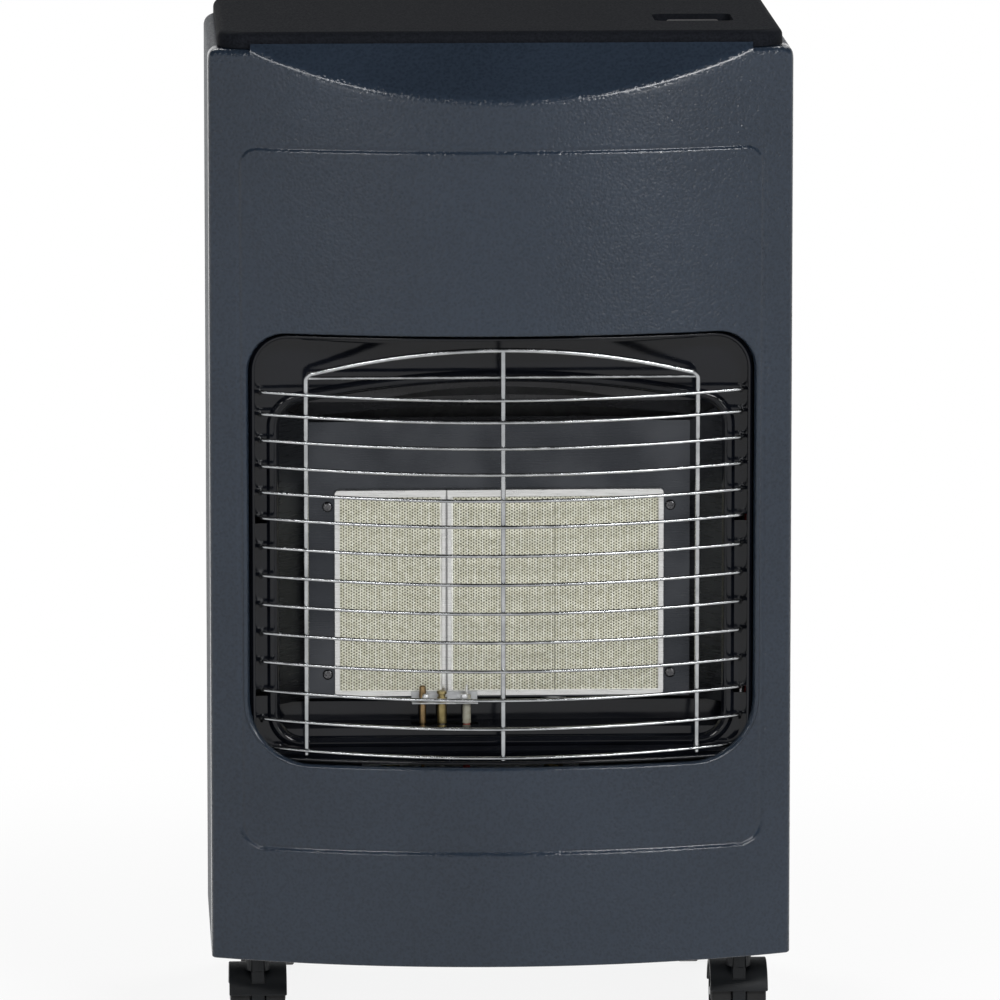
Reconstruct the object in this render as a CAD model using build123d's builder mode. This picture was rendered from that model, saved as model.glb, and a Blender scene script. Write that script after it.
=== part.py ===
from build123d import *
import os
from math import asin, atan2, cos, degrees, sin, sqrt

os.makedirs("parts", exist_ok=True)

# Portable cabinet gas heater on four twin-wheel casters.
# Frame: millimetres, +Z up, the front faces -Y, and the origin is on the floor under the middle of
# the whole heater. Left (-X) and right (+X) are as seen by someone who faces the front.

# ---- Driving dimensions -------------------------------------------------------------------------

# Cabinet
cabinet_width = 420.0
cabinet_depth = 365.0
cabinet_height = 735.0
front_bow = 44.0  # how far the front's middle stands ahead of its side edges
rear_bulge = 27.0  # how far the rear cover stands out behind the cabinet
skirt_height = 60.0  # lower edge of the cabinet above the floor
lid_height = 12.0
sheet = 1.2
front_corner_radius = 5.0
rear_corner_radius = 65.0
ear_radius = 7.0
front_return_depth = 64.5  # depth of the front panel, from its middle to the rear edge of its sides
lip_width = 10.0  # inward flange along the cabinet's lower edge
fit_gap = 0.3  # clearance between pieces that seat on each other
running_gap = 0.05

# Scoop in the top of the front
scoop_run = 32.0
scoop_rise = 34.0
scoop_lip_rise = 4.0
ear_width = 30.0

# Embossed field of the front, tilted so that its top stands out and its bottom stands in
field_side_margin = 21.5
field_top_margin = 70.0
field_bottom_margin = 84.0
field_radius = 15.0
field_step = 0.8

# Window
window_side_margin = 26.0
window_rise = 146.0  # window's lower edge above the skirt
window_height = 313.5
window_top_radius = 29.0
window_bottom_radius = 45.0
window_lip = 5.0

# Firebox surround and its opening
surround_gap = 1.5
surround_sheet = 1.0
rim_setback = 6.0
dish_bottom_radius = 21.0
dish_depth = 48.7  # front's middle to the flange behind the window
surround_margin = 16.0
opening_margin = 24.0
opening_rise = 16.0  # opening's lower edge above the window's
opening_height = 240.0
opening_arch = 18.0
opening_radius = 17.0
collar_depth = 2.0

# Wire guard
guard_setback = 6.2
row_wire = 2.5
frame_wire = 3.6
weld_depth = 0.35
guard_margin = 14.0
lowest_row_margin = 21.0
guard_bend_radius = 5.0
guard_bow_low = 34.0
guard_bow_high = 28.0
guard_rise = 6.3
lower_pitch = 21.05
lower_rows = 8
middle_pitch = 19.0
middle_rows = 4
top_pitch = 16.0
chord_rise = 13.8
arch_rise = 22.1
arch_knee = 70.0
arch_knee_rise = 17.0
post_bend = 8.0
knee_bend = 250.0
arch_bend = 400.0
post_inset = 29.0
hook_low_rows = 2  # rows below the lower hooks
hook_high_rows = 8
hook_reach = 5.0

# Reflector, hood and tray
bright_sheet = 0.8
reflector_depth = 32.0
reflector_margin = 19.0
reflector_drop = 2.0
wing_step = 5.0
slope_reach = 20.0  # past the reflector's front and back
hood_rise = 50.0  # hood's rear edge above the burner frame
hood_slope_rise = 18.6
hood_flange = 20.0
crescent_inset = 10.0
crescent_land = 2.5  # steel left between a fold and the ends of a crescent slot
crescent_end = 0.8
tray_drop = 18.5
tray_back = 14.5
tray_flange = 15.5

# Burner
burner_rise = 24.0  # burner frame's lower edge above the opening's
burner_frame_depth = 5.0
frame_sheet = 1.0
frame_border = 2.8
frame_foot = 2.8
centre_strip = 4.9
plaque_width = 76.0
plaque_height = 144.4
plaque_thickness = 12.0
plaque_gap = 0.4
plaque_clearance = 0.2
box_sheet = 1.0
box_depth = 29.0
mixer_radius = 9.0
mixer_wall = 1.0
mixer_length = 39.8
mixer_setback = 13.0
burner_screw_margin = 5.0
burner_screw_radius = 1.6
burner_screw_rise = 15.5
burner_screw_drop = 12.6

# Pilot
pilot_setback = 12.5
pilot_drop = 3.7
pilot_x = -42.0
electrode_x = -24.0
thermocouple_x = -56.0
pilot_margin = 8.0  # bracket beyond its outer elements

# Gas parts
shield_depth = 41.0
shield_drop = 75.0
shelf_depth = 45.0
knob_inset = 67.5
knob_setback = 6.5
valve_drop = 25.2
valve_height = 38.0
valve_width = 29.0
valve_front_reach = 14.5
valve_rear_reach = 13.5
bracket_sheet = 1.5
nozzle_radius = 4.0
nozzle_length = 16.0
gas_tube_radius = 3.0
pilot_tube_radius = 2.0
sensor_lead_radius = 1.25
spark_lead_radius = 2.5
port_length = 6.0
tube_bend = 10.0
lead_bend = 6.0

# Knob
knob_radius = 20.0
knob_travel = 4.0
spindle_radius = 4.0
well_width = 57.0
well_length = 47.0
well_depth = 22.0
well_wall = 1.6

# Top cover
cover_inset = 7.0
cover_wall = 2.5
cover_front_radius = 25.0
cover_rear_radius = 70.0
cover_edge_radius = 5.5

# Base and casters
base_sheet = 1.5
base_flange = 15.0
base_clearance = 1.6
wheel_radius = 20.0
wheel_width = 14.8
caster_width = 42.0
caster_trail = 14.0
axle_radius = 3.0
web_width = 9.6
plate_side = 40.0
plate_thickness = 2.0
pin_radius = 4.0
front_caster_inset = 34.0
front_caster_setback = 24.2
rear_caster_inset = 45.0
rear_caster_inset_y = 45.5

# Screws of the cabinet
cover_screw_radius = 1.75
base_screw_radius = 1.8
screw_clearance = 0.2
front_boss_inset = 60.0
rear_boss_inset = 18.0
rear_boss_forward = 95.5
base_screw_inset = 6.5

# ---- Derived places -----------------------------------------------------------------------------

half_width = cabinet_width / 2
body_top = cabinet_height - lid_height
panel_y = -cabinet_depth / 2 + field_step
body_rear_y = cabinet_depth / 2 - rear_bulge
bow_radius = (half_width**2 + front_bow**2) / (2 * front_bow)
side_seam_y = panel_y + front_return_depth
scoop_crease_height = body_top - scoop_rise
scoop_lip_height = body_top + scoop_lip_rise
scoop_half_width = half_width - ear_width
scoop_slope = scoop_rise / scoop_run
scoop_angle_sine = scoop_rise / sqrt(scoop_rise**2 + scoop_run**2)
scoop_lip_y = panel_y + (scoop_lip_height - scoop_crease_height) / scoop_slope
cover_front_y = scoop_lip_y + sheet / scoop_angle_sine + fit_gap
field_width = cabinet_width - 2 * field_side_margin
field_low = skirt_height + field_bottom_margin
field_high = body_top - field_top_margin
window_width = cabinet_width - 2 * window_side_margin
window_low = skirt_height + window_rise
window_high = window_low + window_height
flange_y = panel_y + dish_depth
surround_low = window_low - surround_margin
surround_high = window_high + surround_margin
surround_half_width = half_width - sheet - fit_gap - sheet - surround_sheet
opening_half_width = window_width / 2 - opening_margin
opening_low = window_low + opening_rise
opening_shoulder = opening_low + opening_height
opening_crown = opening_shoulder + opening_arch
guard_front_y = panel_y + guard_setback
guard_half_width = window_width / 2 - guard_margin
hook_rows = (hook_low_rows, hook_high_rows)
lowest_row_half_width = window_width / 2 - lowest_row_margin
guard_low = window_low + guard_rise
post_half_spacing = guard_half_width - post_inset
reflector_y = flange_y + reflector_depth
burner_low = opening_low + burner_rise
plaque_low = burner_low + frame_foot
plaque_high = plaque_low + plaque_height
burner_high = plaque_high + plaque_clearance + frame_foot + 1.2
burner_width = 3 * plaque_width + 2 * frame_border + centre_strip + plaque_gap
burner_screw_spacing = burner_width + 2 * burner_screw_margin
burner_screw_low = burner_low + burner_screw_rise
burner_screw_high = burner_high - burner_screw_drop
reflector_half_width = burner_width / 2 + reflector_margin
reflector_low = burner_low - reflector_drop
hood_height = burner_high + hood_rise
hood_front_height = hood_height + hood_slope_rise
hood_flange_height = hood_front_height + hood_flange
tray_floor = burner_low - tray_drop
tray_back_height = tray_floor + tray_back
tray_flange_low = tray_floor - tray_flange
mixer_y = reflector_y + mixer_setback
mixer_mouth_height = plaque_low - mixer_length
pilot_y = reflector_y - pilot_setback
pilot_shelf_height = burner_low - pilot_drop
shield_y = reflector_y + shield_depth
shield_top = body_top - shield_drop
knob_x = half_width - knob_inset
knob_y = shield_y + knob_setback
valve_top = body_top - valve_drop
valve_front_y = knob_y - valve_front_reach
valve_rear_y = knob_y + valve_rear_reach
well_floor = cabinet_height - well_depth
cover_width = cabinet_width - 2 * cover_inset
front_boss_x = half_width - front_boss_inset
front_boss_y = side_seam_y - 12.0
rear_boss_x = half_width - rear_boss_inset
rear_boss_y = body_rear_y - rear_boss_forward
cover_screw_spots = [
    (-front_boss_x, front_boss_y),
    (front_boss_x, front_boss_y),
    (-rear_boss_x, rear_boss_y),
    (rear_boss_x, rear_boss_y),
]
base_screw_x = half_width - base_screw_inset
base_screw_ys = (side_seam_y - 4.8, side_seam_y + 32.0, rear_boss_y)
base_screw_spots = [(side * base_screw_x, y) for side in (-1, 1) for y in base_screw_ys]
front_caster_x = half_width - front_caster_inset
front_caster_y = side_seam_y + front_caster_setback
rear_caster_x = half_width - rear_caster_inset
rear_caster_y = body_rear_y - rear_caster_inset_y
base_low = skirt_height + sheet + 0.1
base_top = base_low + base_sheet
front_plane = Plane((0, panel_y, 0))


def save(piece, name):
    """Label a finished piece and write it to its own file."""
    piece.part.label = name
    export_step(piece.part, f"parts/{name}.step")


def at_y(y):
    """Plane at depth y that faces the front; its own x is +X and its own y is +Z."""
    return Plane.XZ.offset(-y)


def at_x(x):
    """Plane at width x that faces right; its own x is +Y and its own y is +Z."""
    return Plane.YZ.offset(x)


def bowed_block(base, inset, low, high, back):
    """Block behind the bowed front, its front and sides moved in by inset."""
    half = half_width - inset
    side = bow_radius - sqrt((bow_radius - inset) ** 2 - half**2)
    with BuildPart() as block:
        with BuildSketch(base.offset(low)) as plan:
            with BuildLine():
                ThreePointArc((-half, side), (0, inset), (half, side))
                Polyline((half, side), (half, back), (-half, back), (-half, side))
            make_face()
            fillet(plan.vertices().group_by(Axis.Y)[0], max(front_corner_radius - inset, 1))
        extrude(amount=high - low)
    return block.part


def cabinet_block(inset, front, low, high, edge_radius=0.0):
    """Block of the cabinet's plan with its large rear corners, moved in by inset on every side."""
    half = half_width - inset
    rear = body_rear_y - inset
    with BuildPart() as block:
        with BuildSketch(Plane.XY.offset(low)) as plan:
            with Locations((0, (front + rear) / 2)):
                Rectangle(2 * half, rear - front)
            fillet(plan.vertices().group_by(Axis.Y)[-1], rear_corner_radius - inset)
        extrude(amount=high - low)
        if edge_radius > 0:
            top_edges = block.faces().sort_by(Axis.Z)[-1].edges().sort_by(Axis.Y)
            fillet(top_edges[1:], edge_radius)
    return block.part


def field_block(front, back):
    """Block of the embossed field's outline."""
    with BuildPart() as block:
        with BuildSketch(at_y(back)):
            with Locations((0, (field_low + field_high) / 2)):
                RectangleRounded(field_width, field_high - field_low, field_radius)
        extrude(amount=back - front)
    return block.part


def window_block(grow, front, back, bottom_radius):
    """Block of the window's outline, grown outwards."""
    with BuildPart() as block:
        with BuildSketch(at_y(back)) as outline:
            with Locations((0, (window_low + window_high) / 2)):
                Rectangle(window_width + 2 * grow, window_high - window_low + 2 * grow)
            fillet(outline.vertices().group_by(Axis.Y)[-1], window_top_radius + grow)
            fillet(outline.vertices().group_by(Axis.Y)[0], bottom_radius)
        extrude(amount=back - front)
    return block.part


def opening_block(grow, front, back):
    """Block of the surround's arched opening, grown outwards."""
    half = opening_half_width + grow
    low = opening_low - grow
    with BuildPart() as block:
        with BuildSketch(at_y(back)) as outline:
            with BuildLine():
                Polyline((-half, opening_shoulder), (-half, low), (half, low), (half, opening_shoulder))
                ThreePointArc((half, opening_shoulder), (0, opening_crown + grow), (-half, opening_shoulder))
            make_face()
            fillet(outline.vertices(), opening_radius + grow)
        extrude(amount=back - front)
    return block.part


def tube(path, radius):
    """Round bar along a path of lines and arcs."""
    with BuildPart() as bar:
        with BuildLine():
            add(path)
        with BuildSketch(Plane(path @ 0, z_dir=path % 0)):
            Circle(radius)
        sweep()
    return bar.part


# ---- Front panel --------------------------------------------------------------------------------


def front_form(inset, low, back):
    """The front panel's form with its field, ears and scoop, moved in by inset."""
    field_middle = (field_low + field_high) / 2
    field_half = (field_high - field_low) / 2
    tilt = atan2(field_step, field_half)
    field_up = (0, -sin(tilt), cos(tilt))
    tilted_plane = Plane(origin=(0, panel_y, field_middle), x_dir=(1, 0, 0), z_dir=field_up)
    plain = bowed_block(front_plane, inset, low, body_top - inset, back)
    tilted = bowed_block(tilted_plane, inset, -field_half - lip_width, field_half + lip_width, back)
    field = field_block(panel_y - lip_width, panel_y + front_return_depth - lip_width)
    ear_top = body_top - inset
    scoop_shift = inset * sqrt(1 + scoop_slope**2)
    scoop_back = front_return_depth + lip_width
    with BuildPart() as raised:
        add(tilted)
        add(field, mode=Mode.INTERSECT)
    with BuildPart() as form:
        add(plain)
        add(field, mode=Mode.SUBTRACT)
        add(raised.part)
        with BuildSketch(at_x(0)):
            with BuildLine():
                Polyline(
                    (panel_y - lip_width, scoop_crease_height - lip_width * scoop_slope - scoop_shift),
                    (panel_y + scoop_back, scoop_crease_height + scoop_back * scoop_slope - scoop_shift),
                    (panel_y - lip_width, scoop_crease_height + scoop_back * scoop_slope - scoop_shift),
                    close=True,
                )
            make_face()
        extrude(amount=half_width, both=True, mode=Mode.SUBTRACT)
        with BuildSketch(at_y(back + panel_y)) as silhouette:
            with Locations((0, (low + ear_top) / 2)):
                Rectangle(cabinet_width - 2 * inset, ear_top - low)
            fillet(silhouette.vertices().group_by(Axis.Y)[-1], ear_radius - inset)
        extrude(amount=back + lip_width, mode=Mode.INTERSECT)
    return form.part


outer_form = front_form(0, skirt_height, front_return_depth)
inner_form = front_form(sheet, skirt_height - sheet, front_return_depth + sheet)
core_top = skirt_height + sheet + 1
skirt_core = bowed_block(front_plane, lip_width, skirt_height - 1, core_top, front_return_depth + 1)
lip_low = window_low - lip_width
lip_high = window_high + lip_width
lip_core = bowed_block(front_plane, window_lip, lip_low, lip_high, front_return_depth)
lip_ring = window_block(sheet, panel_y - lip_width, flange_y, window_bottom_radius + sheet)
window_hole = window_block(0, panel_y - lip_width, flange_y, window_bottom_radius)

with BuildPart() as scoop_lip:
    with BuildSketch(at_x(0)):
        lip_base = body_top - 4 * sheet
        lip_base_y = panel_y + (lip_base - scoop_crease_height) / scoop_slope
        with BuildLine():
            Polyline(
                (lip_base_y, lip_base),
                (scoop_lip_y, scoop_lip_height),
                (scoop_lip_y + sheet / scoop_angle_sine, scoop_lip_height),
                (lip_base_y + sheet / scoop_angle_sine, lip_base),
                close=True,
            )
        make_face()
    extrude(amount=scoop_half_width, both=True)

with BuildPart() as window_collar:
    add(outer_form)
    add(lip_ring, mode=Mode.INTERSECT)
    add(lip_core, mode=Mode.SUBTRACT)

with BuildPart() as skirt_lip:
    add(bowed_block(front_plane, 0, skirt_height, skirt_height + sheet, front_return_depth))
    add(skirt_core, mode=Mode.SUBTRACT)

with BuildPart() as front_panel:
    add(outer_form)
    add(inner_form, mode=Mode.SUBTRACT)
    add(scoop_lip.part)
    add(window_collar.part)
    add(skirt_lip.part)
    add(window_hole, mode=Mode.SUBTRACT)
    # Holes in the top flange for the two front screws of the cover
    with BuildSketch(Plane.XY.offset(body_top - 2 * sheet)):
        with Locations((-front_boss_x, front_boss_y), (front_boss_x, front_boss_y)):
            Circle(cover_screw_radius + screw_clearance)
    extrude(amount=3 * sheet, mode=Mode.SUBTRACT)
    # Holes in the lower lip for the two front screws of the base
    with BuildSketch(Plane.XY.offset(skirt_height - 1)):
        with Locations(*base_screw_spots):
            Circle(base_screw_radius + screw_clearance)
    extrude(amount=3 * sheet, mode=Mode.SUBTRACT)
save(front_panel, "front_panel")

# ---- Side panels --------------------------------------------------------------------------------

rear_gap_half_width = half_width - rear_corner_radius - 3.0
top_flange = 26.0
tab_length = 13.0
tab_low = skirt_height + base_flange + 8.0
tab_high = body_top - ear_radius - 1.0
side_front_y = side_seam_y + fit_gap
side_outer = cabinet_block(0, side_front_y, skirt_height, body_top, ear_radius)
inner_low = skirt_height - sheet
inner_high = body_top - sheet
side_inner = cabinet_block(sheet, side_front_y - sheet, inner_low, inner_high, ear_radius - sheet)
floor_ring = cabinet_block(0, side_front_y, skirt_height, skirt_height + sheet)
floor_core = cabinet_block(lip_width, side_front_y - sheet, skirt_height - sheet, skirt_height + 2 * sheet)

with BuildPart() as side_panel_right:
    add(side_outer)
    add(side_inner, mode=Mode.SUBTRACT)
    add(floor_ring)
    add(floor_core, mode=Mode.SUBTRACT)
    with BuildSketch(Plane.XY.offset(skirt_height)):
        with Locations((0, (side_front_y + body_rear_y) / 2)):
            Rectangle(2 * rear_gap_half_width, body_rear_y - side_front_y + 2 * sheet)
    extrude(amount=cabinet_height, mode=Mode.SUBTRACT)
    with BuildSketch(Plane.XY.offset(body_top - sheet)):
        with Locations((0, side_front_y)):
            Rectangle(2 * (half_width - top_flange), 2 * (body_rear_y - side_front_y - rear_corner_radius))
    extrude(amount=2 * sheet, mode=Mode.SUBTRACT)
    # Stiffening return along the rear edge
    with BuildSketch(Plane.XY.offset(tab_low)):
        with Locations((rear_gap_half_width + sheet / 2, body_rear_y - tab_length / 2)):
            Rectangle(sheet, tab_length)
    extrude(amount=body_top - tab_low)
    # Joggled tab that slips inside the front panel's side
    with BuildSketch(Plane.XY.offset(tab_low)):
        with BuildLine():
            Polyline(
                (half_width - sheet, side_front_y + 4 * sheet),
                (half_width - sheet, side_front_y + 2 * sheet),
                (half_width - 2 * sheet - fit_gap, side_front_y),
                (half_width - 2 * sheet - fit_gap, side_front_y - tab_length),
                (half_width - sheet - fit_gap, side_front_y - tab_length),
                (half_width - sheet - fit_gap, side_front_y),
                (half_width - sheet / 2, side_front_y + 2 * sheet),
                (half_width - sheet / 2, side_front_y + 4 * sheet),
                close=True,
            )
        make_face()
    extrude(amount=tab_high - tab_low)
    with BuildSketch(Plane.XY.offset(skirt_height - 1)):
        with Locations(*base_screw_spots):
            Circle(base_screw_radius + screw_clearance)
    extrude(amount=3 * sheet, mode=Mode.SUBTRACT)
    with BuildSketch(Plane.XY.offset(body_top - 2 * sheet)):
        with Locations((rear_boss_x, rear_boss_y)):
            Circle(cover_screw_radius + screw_clearance)
    extrude(amount=3 * sheet, mode=Mode.SUBTRACT)
    split(bisect_by=Plane.YZ)
save(side_panel_right, "side_panel_right")

with BuildPart() as side_panel_left:
    mirror(side_panel_right.part, about=Plane.YZ)
save(side_panel_left, "side_panel_left")

# ---- Base plate ---------------------------------------------------------------------------------

base_front_y = side_seam_y - 10.0
base_inner = cabinet_block(
    base_clearance + base_sheet, base_front_y + base_sheet, base_top, base_top + base_flange + 1
)
hook_x = 90.0
hook_width = 18.0
hook_length = 6.0
hook_low = base_top + 5.0
caster_spots = {
    "front_left": (-front_caster_x, front_caster_y),
    "front_right": (front_caster_x, front_caster_y),
    "rear_left": (-rear_caster_x, rear_caster_y),
    "rear_right": (rear_caster_x, rear_caster_y),
}

with BuildPart() as base_plate:
    add(cabinet_block(base_clearance, base_front_y, base_low, base_top + base_flange))
    add(base_inner, mode=Mode.SUBTRACT)
    # Slots in the rear flange for the rear cover's tabs
    with BuildSketch(at_y(body_rear_y + sheet)):
        with Locations((-hook_x, hook_low), (hook_x, hook_low)):
            Rectangle(hook_width + 2, 3 * sheet)
    extrude(amount=2 * (base_clearance + base_sheet), mode=Mode.SUBTRACT)
    with BuildSketch(Plane.XY.offset(base_low - 1)):
        with Locations(*base_screw_spots):
            Circle(base_screw_radius + running_gap)
    extrude(amount=3 * base_sheet, mode=Mode.SUBTRACT)
save(base_plate, "base_plate")

# ---- Heat shield with the shelf for the gas parts -----------------------------------------------

shield_half_width = half_width - base_clearance - base_sheet - 2 * sheet
with BuildPart() as heat_shield:
    with BuildSketch(at_x(-shield_half_width)):
        with BuildLine():
            Polyline(
                (shield_y + 14.0, base_top + 0.1),
                (shield_y, base_top + 0.1),
                (shield_y, shield_top),
                (shield_y + shelf_depth, shield_top),
            )
            offset(amount=sheet, side=Side.RIGHT)
        make_face()
    extrude(amount=2 * shield_half_width)
    # Stiffening returns along both upright edges
    with BuildSketch(Plane.XY.offset(base_top + base_flange + 2)):
        for side in (-1, 1):
            with Locations((side * (shield_half_width - sheet / 2), shield_y - tab_length / 2)):
                Rectangle(sheet, tab_length)
    extrude(amount=shield_top - base_top - base_flange - 2)
save(heat_shield, "heat_shield")

# ---- Rear cover ---------------------------------------------------------------------------------

cover_rim_y = body_rear_y + fit_gap + 0.2
cover_rim_half = half_width - rear_corner_radius + 17.0
louvre_margin = 67.0
cover_rim_low = skirt_height + 4.0
cover_rim_high = body_top - 4.0
cover_rim = 10.0
cover_draft = 22.0
louvre_pitch = 14.0
louvre_slot = 5.0
louvre_length = 84.0
louvre_count = 6
rim_middle = (cover_rim_low + cover_rim_high) / 2
rim_height = cover_rim_high - cover_rim_low


def dish(inset, front, rear):
    """The rear cover's raised field, from its rim to its outer face."""
    width = 2 * (cover_rim_half - cover_rim - inset)
    height = rim_height - 2 * (cover_rim + inset)
    with BuildPart() as raised:
        with BuildSketch(at_y(front)):
            with Locations((0, rim_middle)):
                RectangleRounded(width, height, 30)
        with BuildSketch(at_y(rear)):
            with Locations((0, rim_middle)):
                RectangleRounded(width - 2 * cover_draft, height - 2 * cover_draft, 22)
        loft(ruled=True)
    return raised.part


dish_outer = dish(0, cover_rim_y, cabinet_depth / 2)
dish_inner = dish(sheet, cover_rim_y, cabinet_depth / 2 - sheet)
with BuildPart() as rear_cover:
    with BuildSketch(at_y(cover_rim_y + sheet)):
        with Locations((0, rim_middle)):
            RectangleRounded(2 * cover_rim_half, rim_height, 36)
    extrude(amount=sheet)
    add(dish_outer)
    add(dish_inner, mode=Mode.SUBTRACT)
    with BuildSketch(at_y(cabinet_depth / 2 + 1)):
        for band_low in (cover_rim_low + louvre_margin, cover_rim_high - 2 * louvre_margin):
            band = [(x, band_low + row * louvre_pitch) for x in (-50, 50) for row in range(louvre_count)]
            with Locations(*band):
                SlotOverall(louvre_length, louvre_slot)
    extrude(amount=rear_bulge / 2, mode=Mode.SUBTRACT)
    # Tabs that rest in the base plate's slots
    with BuildSketch(at_y(cover_rim_y + sheet)):
        with Locations((-hook_x, hook_low), (hook_x, hook_low)):
            Rectangle(hook_width, sheet)
    extrude(amount=hook_length)
save(rear_cover, "rear_cover")

# ---- Top cover ----------------------------------------------------------------------------------

cover_low = body_top + 0.2
well_low = well_floor - well_wall


def cover_block(inset, low, high):
    """Block of the top cover's plan, moved in by inset."""
    front = cover_front_y + inset
    rear = body_rear_y - inset
    with BuildPart() as block:
        with BuildSketch(Plane.XY.offset(low)) as plan:
            with Locations((0, (front + rear) / 2)):
                Rectangle(cover_width - 2 * inset, rear - front)
            fillet(plan.vertices().group_by(Axis.Y)[0], cover_front_radius - inset)
            fillet(plan.vertices().group_by(Axis.Y)[-1], cover_rear_radius - inset)
        extrude(amount=high - low)
    return block.part


cover_outer = cover_block(0, cover_low, cabinet_height)
cover_cavity = cover_block(cover_wall, cover_low - 1, cabinet_height - cover_wall)
with BuildPart() as top_cover:
    add(cover_outer)
    fillet(top_cover.faces().sort_by(Axis.Z)[-1].edges(), cover_edge_radius)
    add(cover_cavity, mode=Mode.SUBTRACT)
    with BuildSketch(Plane.XY.offset(well_low)):
        with Locations((knob_x, knob_y)):
            RectangleRounded(well_width + 2 * well_wall, well_length + 2 * well_wall, 6 + well_wall)
    extrude(amount=cabinet_height - cover_wall - well_low)
    with BuildSketch(Plane.XY.offset(cover_low)):
        with Locations(*cover_screw_spots):
            Circle(4)
    extrude(amount=cabinet_height - cover_wall - cover_low)
    with BuildSketch(Plane.XY.offset(well_floor)):
        with Locations((knob_x, knob_y)):
            RectangleRounded(well_width, well_length, 6)
    extrude(amount=cabinet_height - well_floor + 1, mode=Mode.SUBTRACT)
    with BuildSketch(Plane.XY.offset(well_low - 1)):
        with Locations((knob_x, knob_y)):
            Circle(spindle_radius + 1)
    extrude(amount=well_wall + 2, mode=Mode.SUBTRACT)
    with BuildSketch(Plane.XY.offset(cover_low - 1)):
        with Locations(*cover_screw_spots):
            Circle(cover_screw_radius + running_gap)
    extrude(amount=8, mode=Mode.SUBTRACT)
save(top_cover, "top_cover")

# ---- Cabinet screws -----------------------------------------------------------------------------


def screw(plane, head_radius, head_height, shank_radius, shank_length):
    """Pan-head screw whose head seats on the plane and whose shank runs behind it."""
    with BuildPart() as body:
        with BuildSketch(plane):
            Circle(head_radius)
        extrude(amount=head_height)
        with BuildSketch(plane):
            Circle(shank_radius)
        extrude(amount=-shank_length)
    return body.part


def screw_up(x, y, seat, head_radius, shank_radius, shank_length):
    return screw(Plane(origin=(x, y, seat), z_dir=(0, 0, -1)), head_radius, 2.2, shank_radius, shank_length)


base_seat = skirt_height - running_gap
cover_seat = body_top - sheet - running_gap
base_screws = [screw_up(x, y, base_seat, 3.3, base_screw_radius, 7.0) for x, y in base_screw_spots]
cover_screws = [screw_up(x, y, cover_seat, 3.4, cover_screw_radius, 8.0) for x, y in cover_screw_spots]
with BuildPart() as cabinet_screws:
    add(base_screws)
    add(cover_screws)
save(cabinet_screws, "cabinet_screws")

# ---- Firebox surround ---------------------------------------------------------------------------

hook_slot_x = guard_half_width + guard_bend_radius * 0.65
hook_slot_width = 9.0
hook_slot_height = 5.0
guard_rows = [guard_low + lower_pitch * row for row in range(lower_rows + 1)]
guard_rows += [guard_rows[-1] + middle_pitch * row for row in range(1, middle_rows + 1)]
guard_rows.append(guard_rows[-1] + top_pitch)
chord_height = guard_rows[-1] + chord_rise
arch_knee_height = chord_height + arch_knee_rise
arch_height = chord_height + arch_rise
dish_front = window_block(-surround_gap, panel_y - lip_width, flange_y + surround_sheet, dish_bottom_radius)
dish_hollow = window_block(
    -surround_gap - surround_sheet, panel_y - 2 * lip_width, flange_y, dish_bottom_radius - surround_sheet
)
dish_limit = bowed_block(front_plane, rim_setback, lip_low, lip_high, front_return_depth)
with BuildPart() as dish_wall:
    add(dish_front)
    add(dish_hollow, mode=Mode.SUBTRACT)
    add(dish_limit, mode=Mode.INTERSECT)

collar_outer = opening_block(surround_sheet, flange_y, flange_y + collar_depth)
opening_hole = opening_block(0, flange_y - 1, flange_y + collar_depth + 1)
with BuildPart() as firebox_surround:
    add(dish_wall.part)
    with BuildSketch(at_y(flange_y + surround_sheet)):
        with Locations((0, (surround_low + surround_high) / 2)):
            Rectangle(2 * surround_half_width, surround_high - surround_low)
    extrude(amount=surround_sheet)
    add(collar_outer)
    # Returns along both upright edges
    with BuildSketch(at_y(flange_y + tab_length)):
        for side in (-1, 1):
            wall_middle = (surround_low + surround_high) / 2
            with Locations((side * (surround_half_width - surround_sheet / 2), wall_middle)):
                Rectangle(surround_sheet, surround_high - surround_low)
    extrude(amount=tab_length)
    add(opening_hole, mode=Mode.SUBTRACT)
    # Slots for the guard's hooks
    with BuildSketch(at_y(flange_y + 2 * surround_sheet)):
        for row in hook_rows:
            with Locations((-hook_slot_x, guard_rows[row]), (hook_slot_x, guard_rows[row])):
                Rectangle(hook_slot_width, hook_slot_height)
    extrude(amount=3 * surround_sheet, mode=Mode.SUBTRACT)
save(firebox_surround, "firebox_surround")

# ---- Reflector, hood and tray -------------------------------------------------------------------

bright_front_y = flange_y + collar_depth + running_gap
wing_reach = opening_half_width + surround_sheet / 2
flange_reach = opening_half_width + 7.0
hood_width = 2 * (opening_half_width + 8.0)


def hood_line(y):
    """Height of the hood's sloped face at depth y."""
    slope = (hood_front_height - hood_height) / (bright_front_y - reflector_y)
    return hood_height + slope * (y - reflector_y)


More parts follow.
